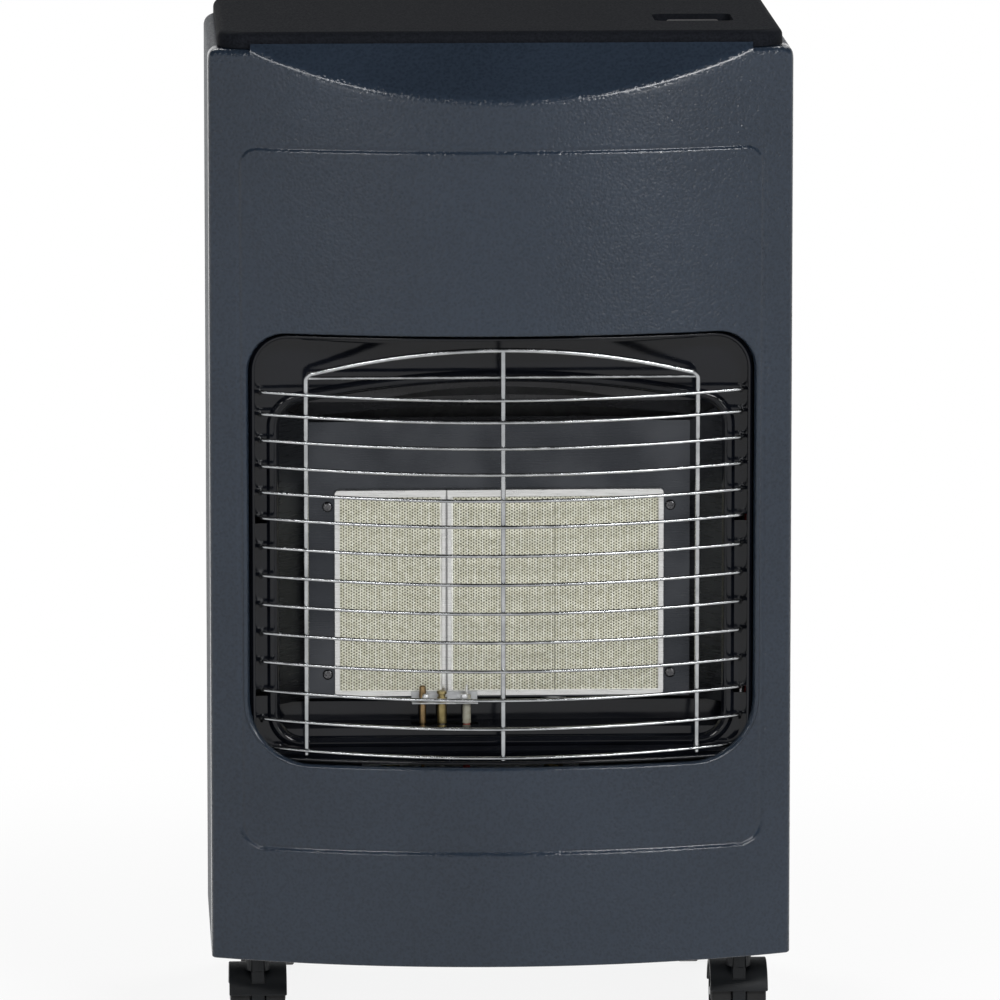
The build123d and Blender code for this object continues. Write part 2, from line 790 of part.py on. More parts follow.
with BuildPart() as reflector:
    with BuildSketch(Plane.XY.offset(reflector_low)):
        with BuildLine():
            Polyline(
                (-flange_reach, bright_front_y),
                (-wing_reach, bright_front_y),
                (-wing_reach, bright_front_y + wing_step),
                (-reflector_half_width, reflector_y),
                (reflector_half_width, reflector_y),
                (wing_reach, bright_front_y + wing_step),
                (wing_reach, bright_front_y),
                (flange_reach, bright_front_y),
            )
            offset(amount=bright_sheet, side=Side.LEFT)
        make_face()
    extrude(amount=hood_front_height - reflector_low)
    # The top follows the hood's slope
    with BuildSketch(at_x(0)):
        with BuildLine():
            Polyline(
                (bright_front_y - slope_reach, hood_line(bright_front_y - slope_reach) - fit_gap),
                (reflector_y + slope_reach, hood_line(reflector_y + slope_reach) - fit_gap),
                (reflector_y + slope_reach, hood_front_height + 60),
                (bright_front_y - slope_reach, hood_front_height + 60),
                close=True,
            )
        make_face()
    extrude(amount=half_width, both=True, mode=Mode.SUBTRACT)
    with BuildSketch(at_y(reflector_y + 2 * bright_sheet)):
        with Locations((0, (burner_low + burner_high) / 2)):
            Rectangle(burner_width - 2, burner_high - burner_low - 2)
        for side in (-1, 1):
            for height in (burner_screw_low, burner_screw_high):
                with Locations((side * burner_screw_spacing / 2, height)):
                    Circle(burner_screw_radius + screw_clearance)
    extrude(amount=4 * bright_sheet, mode=Mode.SUBTRACT)
save(reflector, "reflector")


def crescent(half_span, end_height, low_rise, high_rise):
    """Cutter between two arcs that almost meet at both ends."""
    upper_end = end_height + crescent_end
    with BuildPart() as cutter:
        with BuildSketch(at_y(reflector_y + 20)) as outline:
            with BuildLine():
                ThreePointArc(
                    (-half_span, end_height), (0, end_height + low_rise), (half_span, end_height)
                )
                ThreePointArc(
                    (half_span, upper_end), (0, end_height + high_rise), (-half_span, upper_end)
                )
                Line((half_span, end_height), (half_span, upper_end))
                Line((-half_span, end_height), (-half_span, upper_end))
            make_face()
        extrude(amount=60)
    return cutter.part


lower_span = opening_half_width - crescent_inset
lower_crescent = crescent(lower_span, hood_height + crescent_land, 1.5, hood_slope_rise - 5.6)
upper_crescent = crescent(opening_half_width / 2, hood_front_height + crescent_land, 2.5, 8.0)
with BuildPart() as upper_deflector:
    with BuildSketch(at_x(-hood_width / 2)):
        with BuildLine():
            Polyline(
                (bright_front_y, hood_flange_height),
                (bright_front_y, hood_front_height),
                (reflector_y, hood_height),
            )
            offset(amount=bright_sheet, side=Side.LEFT)
        make_face()
    extrude(amount=hood_width)
    add(lower_crescent, mode=Mode.SUBTRACT)
    add(upper_crescent, mode=Mode.SUBTRACT)
save(upper_deflector, "upper_deflector")

notch_left = thermocouple_x - pilot_margin
notch_right = electrode_x + pilot_margin
with BuildPart() as lower_tray:
    with BuildSketch(at_x(-opening_half_width - 4)):
        with BuildLine():
            Polyline(
                (bright_front_y, tray_flange_low),
                (bright_front_y, tray_floor),
                (reflector_y, tray_floor),
                (reflector_y, tray_back_height),
            )
            offset(amount=bright_sheet, side=Side.RIGHT)
        make_face()
    extrude(amount=2 * (opening_half_width + 4))
    # Notch for the pilot's tube and leads
    with BuildSketch(Plane.XY.offset(tray_floor - 3)):
        with Locations(((notch_left + notch_right) / 2, pilot_y)):
            Rectangle(notch_right - notch_left, 16)
    extrude(amount=6, mode=Mode.SUBTRACT)
save(lower_tray, "lower_tray")

# ---- Burner -------------------------------------------------------------------------------------

burner_front_y = reflector_y - burner_frame_depth
burner_middle = (burner_low + burner_high) / 2
burner_height = burner_high - burner_low
plaque_front_y = burner_front_y + frame_sheet + fit_gap + 0.1
plaque_left_x = -burner_width / 2 + frame_border + plaque_width / 2
plaque_right_x = burner_width / 2 - frame_border - plaque_width / 2
plaque_middle_x = plaque_right_x - plaque_width - plaque_gap
strip_x = plaque_left_x + plaque_width / 2 + centre_strip / 2
plaque_middle_height = (plaque_low + plaque_high) / 2
frame_lap = 1.0
left_pane = plaque_width - 2 * frame_lap
right_pane = 2 * plaque_width + plaque_gap - 2 * frame_lap
right_pane_x = (plaque_middle_x + plaque_right_x) / 2

with BuildPart() as burner_frame:
    with BuildSketch(at_y(reflector_y - running_gap)):
        with Locations((0, burner_middle)):
            RectangleRounded(burner_width, burner_height, 3)
    extrude(amount=burner_frame_depth - running_gap)
    with BuildSketch(at_y(reflector_y)):
        with Locations((0, burner_middle)):
            RectangleRounded(burner_width - 2 * frame_sheet, burner_height - 2 * frame_sheet, 2)
    extrude(amount=burner_frame_depth - frame_sheet, mode=Mode.SUBTRACT)
    with BuildSketch(at_y(reflector_y)):
        with Locations((plaque_left_x, plaque_middle_height)):
            RectangleRounded(left_pane, plaque_height - 2 * frame_lap, 2)
        with Locations((right_pane_x, plaque_middle_height)):
            RectangleRounded(right_pane, plaque_height - 2 * frame_lap, 2)
    extrude(amount=2 * burner_frame_depth, mode=Mode.SUBTRACT)
    # Groove along the strip between the plaques
    with BuildSketch(at_y(burner_front_y + 0.5)):
        with Locations((strip_x, plaque_middle_height)):
            Rectangle(1.6, plaque_height)
    extrude(amount=1, mode=Mode.SUBTRACT)
save(burner_frame, "burner_frame")

for name, x in (
    ("plaque_left", plaque_left_x),
    ("plaque_middle", plaque_middle_x),
    ("plaque_right", plaque_right_x),
):
    with BuildPart() as plaque:
        with BuildSketch(at_y(plaque_front_y + plaque_thickness)):
            with Locations((x, plaque_middle_height)):
                Rectangle(plaque_width, plaque_height)
        extrude(amount=plaque_thickness)
    save(plaque, name)

box_top = plaque_high + plaque_clearance + box_sheet
box_low = plaque_low - plaque_clearance - box_sheet
tab_height = 16.0


def burner_box(low_x, high_x, mixer_x, tab_side):
    """Gas box that holds its plaques in front and carries a mixer tube below."""
    width = high_x - low_x + 2 * plaque_clearance
    middle_x = (low_x + high_x) / 2
    box_rear = plaque_front_y + box_depth
    tab_inner = burner_width / 2 - frame_border + plaque_clearance + box_sheet / 2
    tab_outer = burner_screw_spacing / 2 + 6.0
    with BuildPart() as box:
        with BuildSketch(at_y(box_rear)):
            with Locations((middle_x, plaque_middle_height)):
                Rectangle(width + 2 * box_sheet, box_top - box_low)
        extrude(amount=box_depth)
        with BuildSketch(Plane.XY.offset(mixer_mouth_height)):
            with Locations((mixer_x, mixer_y)):
                Circle(mixer_radius)
        extrude(amount=plaque_low - mixer_mouth_height)
        with BuildSketch(at_y(box_rear - box_sheet)):
            with Locations((middle_x, plaque_middle_height)):
                Rectangle(width, plaque_height + 2 * plaque_clearance)
        extrude(amount=box_depth, mode=Mode.SUBTRACT)
        # Ledge behind the plaques
        with BuildSketch(at_y(plaque_front_y + plaque_thickness + running_gap + box_sheet)):
            with Locations((middle_x, plaque_middle_height)):
                Rectangle(width + box_sheet, plaque_height + 2 * plaque_clearance + box_sheet)
                Rectangle(width - 5, plaque_height - 5, mode=Mode.SUBTRACT)
        extrude(amount=box_sheet)
        with BuildSketch(Plane.XY.offset(mixer_mouth_height - 1)):
            with Locations((mixer_x, mixer_y)):
                Circle(mixer_radius - mixer_wall)
        extrude(amount=plaque_low - mixer_mouth_height + 6, mode=Mode.SUBTRACT)
        # Tabs behind the reflector for the burner screws
        with BuildSketch(at_y(reflector_y + bright_sheet + running_gap + box_sheet)):
            for height in (burner_screw_low, burner_screw_high):
                with Locations((tab_side * (tab_inner + tab_outer) / 2, height)):
                    Rectangle(tab_outer - tab_inner, tab_height)
                with Locations((tab_side * burner_screw_spacing / 2, height)):
                    Circle(burner_screw_radius + running_gap, mode=Mode.SUBTRACT)
        extrude(amount=box_sheet)
    return box.part


box_single = burner_box(
    plaque_left_x - plaque_width / 2, plaque_left_x + plaque_width / 2, plaque_left_x, -1
)
with BuildPart() as burner_box_single:
    add(box_single)
save(burner_box_single, "burner_box_single")

box_double = burner_box(
    plaque_middle_x - plaque_width / 2, plaque_right_x + plaque_width / 2, right_pane_x, 1
)
with BuildPart() as burner_box_double:
    add(box_double)
save(burner_box_double, "burner_box_double")

burner_screw_planes = []
for side in (-1, 1):
    for height in (burner_screw_low, burner_screw_high):
        head_seat = (side * burner_screw_spacing / 2, reflector_y - running_gap, height)
        burner_screw_planes.append(Plane(origin=head_seat, z_dir=(0, -1, 0)))
burner_screw_list = [screw(plane, 3.6, 2.2, burner_screw_radius, 4.0) for plane in burner_screw_planes]
with BuildPart() as burner_screws:
    add(burner_screw_list)
save(burner_screws, "burner_screws")

# ---- Wire guard ---------------------------------------------------------------------------------

row_radius = row_wire / 2
post_radius = frame_wire / 2
row_y = guard_front_y + row_radius
guard_end_y = flange_y - running_gap
post_offset = row_radius + post_radius - weld_depth


def row_circle(height):
    """Radius of the row's bow, which grows flatter towards the top."""
    share = (height - guard_rows[0]) / (guard_rows[-1] - guard_rows[0])
    bow = guard_bow_low + (guard_bow_high - guard_bow_low) * share
    return (guard_half_width**2 + bow**2) / (2 * bow)


def row_depth(x, height):
    """Depth of the row's middle line at width x."""
    radius = row_circle(height)
    return row_y + radius - sqrt(radius**2 - x**2)


def guard_row(height, half, end_y):
    """One bowed wire whose ends turn back to the surround."""
    side = row_depth(half, height)
    turn = 90 - degrees(asin(half / row_circle(height)))
    with BuildPart() as wire:
        with BuildLine(Plane.XY.offset(height)) as path:
            bow = ThreePointArc((-half, side), (0, row_y), (half, side))
            right = JernArc(bow @ 1, bow % 1, guard_bend_radius, turn)
            left = JernArc(bow @ 0, -(bow % 0), guard_bend_radius, -turn)
            Line(right @ 1, ((right @ 1).X, end_y))
            Line(left @ 1, ((left @ 1).X, end_y))
        start = path.wires()[0] @ 0
        away = -1 if start.Y > side else 1
        with BuildSketch(Plane(origin=start, z_dir=(0, away, 0))):
            Circle(row_radius)
        sweep(path=path.wires()[0])
    return wire.part


def post_point(x, height):
    """Point of a frame wire that lies against the rows' rear."""
    return (x, row_depth(x, height) + post_offset, height)


wires = []
for row, height in enumerate(guard_rows):
    half = lowest_row_half_width if row == 0 else guard_half_width
    end_y = flange_y + hook_reach if row in hook_rows else guard_end_y
    wires.append(guard_row(height, half, end_y))
frame_path = FilletPolyline(
    post_point(-post_half_spacing, guard_low - 1),
    post_point(-post_half_spacing, chord_height + 1),
    post_point(-arch_knee, arch_knee_height),
    post_point(0, arch_height),
    post_point(arch_knee, arch_knee_height),
    post_point(post_half_spacing, chord_height + 1),
    post_point(post_half_spacing, guard_low - 1),
    radius=[post_bend, knee_bend, arch_bend, knee_bend, post_bend],
)
wires.append(tube(frame_path, post_radius))
middle_y = row_y + post_offset
middle_post = Line((0, middle_y, guard_low - 2), (0, middle_y, arch_height + 1))
wires.append(tube(middle_post, post_radius))
chord_y = row_depth(post_half_spacing, chord_height) + post_offset
chord_reach = post_half_spacing - post_radius
chord = Line((-chord_reach, chord_y, chord_height), (chord_reach, chord_y, chord_height))
wires.append(tube(chord, row_radius))
with BuildPart() as wire_guard:
    add(wires)
save(wire_guard, "wire_guard")

# ---- Injectors ----------------------------------------------------------------------------------

injector_stem = 4.0
injector_tip = mixer_mouth_height - 3.0
injector_shelf = injector_tip - 12.0
injector_hex_low = injector_shelf - 12.0
injector_xs = (plaque_left_x, right_pane_x)
bracket_left = plaque_left_x - 20.0
bracket_right = right_pane_x + 20.0
shield_front = shield_y - running_gap

with BuildPart() as injector_bracket:
    with BuildSketch(at_x(bracket_left)):
        with BuildLine():
            Polyline(
                (shield_front, injector_shelf - 14),
                (shield_front, injector_shelf + bracket_sheet),
                (mixer_y - 10, injector_shelf + bracket_sheet),
            )
            offset(amount=bracket_sheet, side=Side.LEFT)
        make_face()
    extrude(amount=bracket_right - bracket_left)
    with BuildSketch(Plane.XY.offset(injector_shelf - 1)):
        for x in injector_xs:
            with Locations((x, mixer_y)):
                Circle(injector_stem + running_gap)
    extrude(amount=2 * bracket_sheet, mode=Mode.SUBTRACT)
save(injector_bracket, "injector_bracket")

with BuildPart() as injectors:
    with BuildSketch(Plane.XY.offset(injector_hex_low)):
        for x in injector_xs:
            with Locations((x, mixer_y)):
                RegularPolygon(6, 6, major_radius=False)
    extrude(amount=injector_shelf - running_gap - injector_hex_low)
    with BuildSketch(Plane.XY.offset(injector_hex_low)):
        for x in injector_xs:
            with Locations((x, mixer_y)):
                Circle(injector_stem)
    extrude(amount=18)
    with BuildSketch(Plane.XY.offset(injector_hex_low)):
        for x in injector_xs:
            with Locations((x, mixer_y)):
                Circle(2.5)
    extrude(amount=injector_tip - injector_hex_low)
    with BuildSketch(Plane.XY.offset(injector_tip)):
        for x in injector_xs:
            with Locations((x, mixer_y)):
                Circle(0.8)
    extrude(amount=-10, mode=Mode.SUBTRACT)
save(injectors, "injectors")

# ---- Pilot --------------------------------------------------------------------------------------

pilot_plate = 1.2
pilot_front = burner_front_y - running_gap
thermocouple_radius = 2.5
element_foot = pilot_shelf_height - 15.0
pilot_radius = 3.5
insulator_radius = 3.0
electrode_radius = 1.0
pilot_left = thermocouple_x - pilot_margin
pilot_right = electrode_x + pilot_margin
pilot_middle = (pilot_left + pilot_right) / 2

with BuildPart() as pilot_bracket:
    with BuildSketch(at_x(pilot_left)):
        with BuildLine():
            Polyline(
                (pilot_front, burner_low + 9),
                (pilot_front, pilot_shelf_height),
                (pilot_y - 6.5, pilot_shelf_height),
            )
            offset(amount=pilot_plate, side=Side.RIGHT)
        make_face()
    extrude(amount=pilot_right - pilot_left)
    with BuildSketch(Plane.XY.offset(pilot_shelf_height - 1)):
        with Locations((thermocouple_x, pilot_y)):
            Circle(thermocouple_radius + running_gap)
        with Locations((pilot_x, pilot_y)):
            Circle(pilot_radius + running_gap)
        with Locations((electrode_x, pilot_y)):
            Circle(insulator_radius + running_gap)
    extrude(amount=3 * pilot_plate, mode=Mode.SUBTRACT)
    with BuildSketch(at_y(pilot_front)):
        with Locations((pilot_middle - 14, burner_low + 5), (pilot_middle + 14, burner_low + 5)):
            Circle(1.8)
    extrude(amount=3 * pilot_plate, mode=Mode.SUBTRACT)
save(pilot_bracket, "pilot_bracket")

with BuildPart() as thermocouple:
    with BuildSketch(Plane.XY.offset(element_foot)):
        with Locations((thermocouple_x, pilot_y)):
            Circle(thermocouple_radius)
    extrude(amount=28)
    fillet(thermocouple.edges().group_by(Axis.Z)[-1], 2.0)
save(thermocouple, "thermocouple")

with BuildPart() as pilot_burner:
    with BuildSketch(Plane.XY.offset(element_foot)):
        with Locations((pilot_x, pilot_y)):
            Circle(pilot_radius)
    extrude(amount=24)
    with BuildSketch(at_y(pilot_y)):
        with Locations((pilot_x, element_foot + 20.5)):
            Rectangle(20, 2.2)
    extrude(amount=pilot_radius + 1, both=True, mode=Mode.SUBTRACT)
    with BuildSketch(Plane.XY.offset(element_foot + 18)):
        with Locations((pilot_x, pilot_y)):
            Circle(pilot_radius - 1)
    extrude(amount=4)
save(pilot_burner, "pilot_burner")

with BuildPart() as electrode_insulator:
    with BuildSketch(Plane.XY.offset(element_foot)):
        with Locations((electrode_x, pilot_y)):
            Circle(insulator_radius)
    extrude(amount=21)
    with BuildSketch(Plane.XY.offset(element_foot + 11)):
        with Locations((electrode_x, pilot_y)):
            Circle(electrode_radius + running_gap)
    extrude(amount=12, mode=Mode.SUBTRACT)
save(electrode_insulator, "electrode_insulator")

with BuildPart() as electrode_rod:
    with BuildSketch(Plane.XY.offset(element_foot + 11.1)):
        with Locations((electrode_x, pilot_y)):
            Circle(electrode_radius)
    extrude(amount=17)
save(electrode_rod, "electrode_rod")

# ---- Gas valve ----------------------------------------------------------------------------------

valve_low = valve_top - valve_height
boss_radius = 4.5
port_y = valve_front_y - port_length
inlet_height = valve_top - 17.8
inlet_y = valve_rear_y + 8.0
spindle_bore = spindle_radius + running_gap
spindle_boss = 5.6
bracket_low = valve_top + 0.2
bracket_top = bracket_low + bracket_sheet
single_port = (knob_x - 9.5, valve_top - 5.8)
double_port = (knob_x + 7.5, valve_top - 17.8)
pilot_port = (knob_x + 7.5, valve_top - 32.8)
sensor_port = (knob_x - 8.5, valve_top - 25.8)

with BuildPart() as gas_valve:
    with BuildSketch(Plane.XY.offset(valve_low)):
        with Locations((knob_x, (valve_front_y + valve_rear_y) / 2)):
            RectangleRounded(valve_width, valve_rear_y - valve_front_y, 4)
    extrude(amount=valve_height)
    with BuildSketch(at_y(valve_front_y + 1)):
        for port in (single_port, double_port, pilot_port, sensor_port):
            with Locations(port):
                Circle(boss_radius)
    extrude(amount=port_length + 1)
    with BuildSketch(at_y(inlet_y)):
        with Locations((knob_x, inlet_height)):
            Circle(8)
    extrude(amount=inlet_y - valve_rear_y + 1)
    with BuildSketch(Plane.XY.offset(valve_top - 1)):
        with Locations((knob_x, knob_y)):
            Circle(spindle_boss)
    extrude(amount=5.2)
    with BuildSketch(Plane.XY.offset(valve_top + 5)):
        with Locations((knob_x, knob_y)):
            Circle(spindle_bore)
    extrude(amount=-18, mode=Mode.SUBTRACT)
save(gas_valve, "gas_valve")

bracket_x_low = knob_x - valve_width / 2 - 14.5
bracket_x_high = knob_x + valve_width / 2 + 16.0
piezo_x = knob_x + 22.0
piezo_y = knob_y + 8.5
piezo_radius = 5.5
piezo_low = valve_top - 33.8
shelf_seat = shield_top + running_gap

with BuildPart() as valve_bracket:
    with BuildSketch(at_y(valve_rear_y + 2)):
        with BuildLine():
            Polyline(
                (bracket_x_low - 9, shelf_seat),
                (bracket_x_low, shelf_seat),
                (bracket_x_low, bracket_low),
                (bracket_x_high, bracket_low),
                (bracket_x_high, shelf_seat),
                (bracket_x_high + 9, shelf_seat),
            )
            offset(amount=bracket_sheet, side=Side.LEFT)
        make_face()
    extrude(amount=22)
    with BuildSketch(Plane.XY.offset(bracket_low)):
        with Locations(((bracket_x_low + bracket_x_high) / 2, knob_y + 2.5)):
            Rectangle(bracket_x_high - bracket_x_low, 32)
    extrude(amount=bracket_sheet)
    with BuildSketch(Plane.XY.offset(bracket_low - 1)):
        with Locations((knob_x, knob_y)):
            Circle(spindle_boss + 0.2)
    extrude(amount=3 * bracket_sheet, mode=Mode.SUBTRACT)
save(valve_bracket, "valve_bracket")

with BuildPart() as piezo_igniter:
    with BuildSketch(Plane.XY.offset(piezo_low)):
        with Locations((piezo_x, piezo_y)):
            Circle(piezo_radius)
    extrude(amount=bracket_low - running_gap - piezo_low)
    with BuildSketch(Plane.XY.offset(piezo_low + 20)):
        with Locations((piezo_x, piezo_y)):
            Circle(piezo_radius + 0.8)
    extrude(amount=3)
save(piezo_igniter, "piezo_igniter")

# ---- Hose nozzle --------------------------------------------------------------------------------

nozzle_hex_y = inlet_y + running_gap
nozzle_hex = 10.0
nozzle_tip_y = nozzle_hex_y + nozzle_hex + 10.0 + nozzle_length


def nozzle_profile():
    """Half section of the nozzle in front of its hexagon, around its own axis."""
    ridge = nozzle_radius + 0.8
    start = nozzle_hex_y + nozzle_hex
    ridge_one = start + 2.0
    ridge_two = start + 6.0
    return [
        (0, start - 1),
        (nozzle_radius, start - 1),
        (nozzle_radius, ridge_one),
        (ridge, ridge_one),
        (nozzle_radius, ridge_two - 0.5),
        (nozzle_radius, ridge_two),
        (ridge, ridge_two),
        (nozzle_radius, start + 9.5),
        (nozzle_radius, nozzle_tip_y),
        (0, nozzle_tip_y),
    ]


with BuildPart() as hose_nozzle:
    with BuildSketch(Plane(origin=(knob_x, 0, inlet_height), x_dir=(1, 0, 0), z_dir=(0, 0, 1))):
        with BuildLine():
            Polyline(*nozzle_profile(), close=True)
        make_face()
    revolve(axis=Axis((knob_x, 0, inlet_height), (0, 1, 0)))
    with BuildSketch(at_y(nozzle_hex_y + nozzle_hex)):
        with Locations((knob_x, inlet_height)):
            RegularPolygon(7, 6, major_radius=False)
    extrude(amount=nozzle_hex)
    with BuildSketch(at_y(nozzle_tip_y + 1)):
        with Locations((knob_x, inlet_height)):
            Circle(2.4)
    extrude(amount=nozzle_tip_y - nozzle_hex_y - 4, mode=Mode.SUBTRACT)
save(hose_nozzle, "hose_nozzle")

# ---- Knob, spindle and spring -------------------------------------------------------------------

collar_low = bracket_top + 7.2
collar_high = collar_low + 2.0
collar_radius = 7.0
spring_radius = 6.25
spring_wire = 0.35
spring_turns = 3
knob_low = well_floor + knob_travel + 1.5
knob_skirt = 4.0
knob_top = cabinet_height - 2.0
grip_length = 38.0
grip_width = 11.0
spindle_low = bracket_low - 7.0
spindle_high = knob_top - 5.0

with BuildPart() as valve_spindle:
    with BuildSketch(Plane.XY.offset(spindle_low)):
        with Locations((knob_x, knob_y)):
            Circle(spindle_radius)
    extrude(amount=spindle_high - spindle_low)
    # Flat that the knob keys on
    with BuildSketch(Plane.XY.offset(knob_low)):
        with Locations((knob_x, knob_y - 2 * spindle_radius + 1)):
            Rectangle(3 * spindle_radius, 2 * spindle_radius)
    extrude(amount=spindle_high - knob_low, mode=Mode.SUBTRACT)
save(valve_spindle, "valve_spindle")

with BuildPart() as spindle_collar:
    with BuildSketch(Plane.XY.offset(collar_low)):
        with Locations((knob_x, knob_y)):
            Circle(collar_radius)
            Circle(spindle_bore, mode=Mode.SUBTRACT)
    extrude(amount=collar_high - collar_low)
save(spindle_collar, "spindle_collar")

spring_low = bracket_top + running_gap + spring_wire
spring_high = collar_low - running_gap - spring_wire
with BuildPart() as knob_spring:
    with BuildLine():
        coil = Helix((spring_high - spring_low) / spring_turns, spring_high - spring_low, spring_radius)
    with BuildSketch(Plane(coil @ 0, z_dir=coil % 0)):
        Circle(spring_wire)
    sweep()
spring_place = Location((knob_x, knob_y, spring_low))
with BuildPart() as knob_spring_seated:
    add(knob_spring.part.moved(spring_place))
save(knob_spring_seated, "knob_spring")

with BuildPart() as control_knob:
    with BuildSketch(Plane.XY.offset(knob_low)):
        with Locations((knob_x, knob_y)):
            Circle(knob_radius)
    extrude(amount=knob_skirt)
    with BuildSketch(Plane.XY.offset(knob_low)):
        with Locations((knob_x, knob_y)):
            RectangleRounded(grip_length, grip_width, 4)
    extrude(amount=knob_top - knob_low)
    fillet(control_knob.faces().sort_by(Axis.Z)[-1].edges(), 1.6)
    with BuildSketch(Plane.XY.offset(knob_low - 1)):
        with Locations((knob_x, knob_y)):
            Circle(spindle_radius + 0.02)
        with Locations((knob_x, knob_y - 2 * spindle_radius + 0.98)):
            Rectangle(3 * spindle_radius, 2 * spindle_radius, mode=Mode.SUBTRACT)
    extrude(amount=spindle_high - knob_low + 1.2, mode=Mode.SUBTRACT)
save(control_knob, "control_knob")

# ---- Gas tubes and leads ------------------------------------------------------------------------

tube_seat_y = port_y - running_gap
injector_seat = injector_hex_low - running_gap
drop_y = mixer_y


def hung_line(port, radius, bend, drop, level, end):
    """Tube or lead from a valve port, down beside the firebox and up to its lower end."""
    points = [
        (port[0], tube_seat_y, port[1]),
        (port[0], drop[1], port[1]),
        (*drop, port[1]),
        (*drop, level),
        (end[0], end[1], level),
        end,
    ]
    return tube(FilletPolyline(*points, radius=bend), radius)


single_drop = (half_width - 20.0, drop_y)
double_drop = (half_width - 32.0, drop_y)
pilot_drop_place = (half_width - 23.0, pilot_y)
sensor_drop = (half_width - 16.0, pilot_y)
spark_drop_x = half_width - 30.0
tube_level = injector_hex_low - 32.0
double_level = tube_level + 14.0
sensor_level = tube_level + 20.0
pilot_level = tube_level + 29.0
element_seat = element_foot - running_gap
single_end = (plaque_left_x, drop_y, injector_seat)
double_end = (right_pane_x, drop_y, injector_seat)
pilot_end = (pilot_x, pilot_y, element_seat)
sensor_end = (thermocouple_x, pilot_y, element_seat)

for name, port, radius, bend, drop, level, end in (
    ("gas_tube_single", single_port, gas_tube_radius, tube_bend, single_drop, tube_level, single_end),
    ("gas_tube_double", double_port, gas_tube_radius, tube_bend, double_drop, double_level, double_end),
    ("pilot_tube", pilot_port, pilot_tube_radius, tube_bend, pilot_drop_place, pilot_level, pilot_end),
    ("thermocouple_lead", sensor_port, sensor_lead_radius, lead_bend, sensor_drop, sensor_level, sensor_end),
):
    hung = hung_line(port, radius, bend, drop, level, end)
    with BuildPart() as line:
        add(hung)
    save(line, name)
spark_turn = shield_top + 7.0
spark_level = tube_level + 38.0
spark_path = FilletPolyline(
    (piezo_x, piezo_y, piezo_low - running_gap),
    (piezo_x, piezo_y, spark_turn),
    (piezo_x, pilot_y, spark_turn),
    (spark_drop_x, pilot_y, spark_turn),
    (spark_drop_x, pilot_y, spark_level),
    (electrode_x, pilot_y, spark_level),
    (electrode_x, pilot_y, element_seat),
    radius=lead_bend,
)
spark_line = tube(spark_path, spark_lead_radius)
with BuildPart() as ignition_lead:
    add(spark_line)
save(ignition_lead, "ignition_lead")

# ---- Casters ------------------------------------------------------------------------------------

socket_radius = 9.0
socket_low = 2 * wheel_radius + 1.6
socket_high = base_low - 7.3
spacer_radius = 8.0
fender_inner = wheel_radius + 1.2
fender_outer = fender_inner + 3.3
fender_low = wheel_radius + 4.0
web_radius = fender_inner + 1.3
web_low = wheel_radius - 9.0
pin_low = wheel_radius + 14.0
wheel_inner_face = web_width / 2 + fit_gap
wheel_middle = wheel_inner_face + wheel_width / 2
axle_length = caster_width - 1.0
spacer_low = socket_high + fit_gap
caster_plate_low = base_low - plate_thickness

with BuildPart() as caster_plates:
    for x, y in caster_spots.values():
        with BuildSketch(Plane.XY.offset(caster_plate_low)):
            with Locations((x, y)):
                RectangleRounded(plate_side, plate_side, 5)
        extrude(amount=plate_thickness)
        with BuildSketch(Plane.XY.offset(spacer_low)):
            with Locations((x, y)):
                Circle(spacer_radius)
        extrude(amount=caster_plate_low - spacer_low)
        with BuildSketch(Plane.XY.offset(pin_low)):
            with Locations((x, y)):
                Circle(pin_radius)
        extrude(amount=caster_plate_low - pin_low)
save(caster_plates, "caster_plates")


def caster_hood(x, y):
    """Twin-wheel caster's swivelling hood with its web, fender and socket."""
    wheel_y = y + caster_trail
    with BuildPart() as hood:
        with BuildSketch(at_x(x - caster_width / 2)):
            with Locations((wheel_y, wheel_radius)):
                Circle(fender_outer)
                Circle(fender_inner, mode=Mode.SUBTRACT)
            with Locations((wheel_y, fender_low - fender_outer)):
                Rectangle(4 * fender_outer, 2 * fender_outer, mode=Mode.SUBTRACT)
        extrude(amount=caster_width)
        with BuildSketch(at_x(x - web_width / 2)):
            with Locations((wheel_y, wheel_radius)):
                Circle(web_radius)
            with Locations((wheel_y, web_low - web_radius)):
                Rectangle(4 * web_radius, 2 * web_radius, mode=Mode.SUBTRACT)
            with Locations((y, (pin_low + socket_high) / 2 - 1)):
                Rectangle(2 * socket_radius - 2, socket_high - pin_low)
        extrude(amount=web_width)
        with BuildSketch(Plane.XY.offset(socket_low)):
            with Locations((x, y)):
                Circle(socket_radius)
        extrude(amount=socket_high - socket_low)
        with BuildSketch(Plane.XY.offset(pin_low - running_gap)):
            with Locations((x, y)):
                Circle(pin_radius + running_gap)
        extrude(amount=socket_high, mode=Mode.SUBTRACT)
        with BuildSketch(at_x(x)):
            with Locations((wheel_y, wheel_radius)):
                Circle(axle_radius + 0.02)
        extrude(amount=web_width, both=True, mode=Mode.SUBTRACT)
        # Room for the wheels' upper halves
        with BuildSketch(at_x(x - caster_width)):
            with Locations((wheel_y, wheel_radius)):
                Circle(fender_inner)
        extrude(amount=caster_width - web_width / 2, mode=Mode.SUBTRACT)
        with BuildSketch(at_x(x + web_width / 2)):
            with Locations((wheel_y, wheel_radius)):
                Circle(fender_inner)
        extrude(amount=caster_width, mode=Mode.SUBTRACT)
    return hood.part


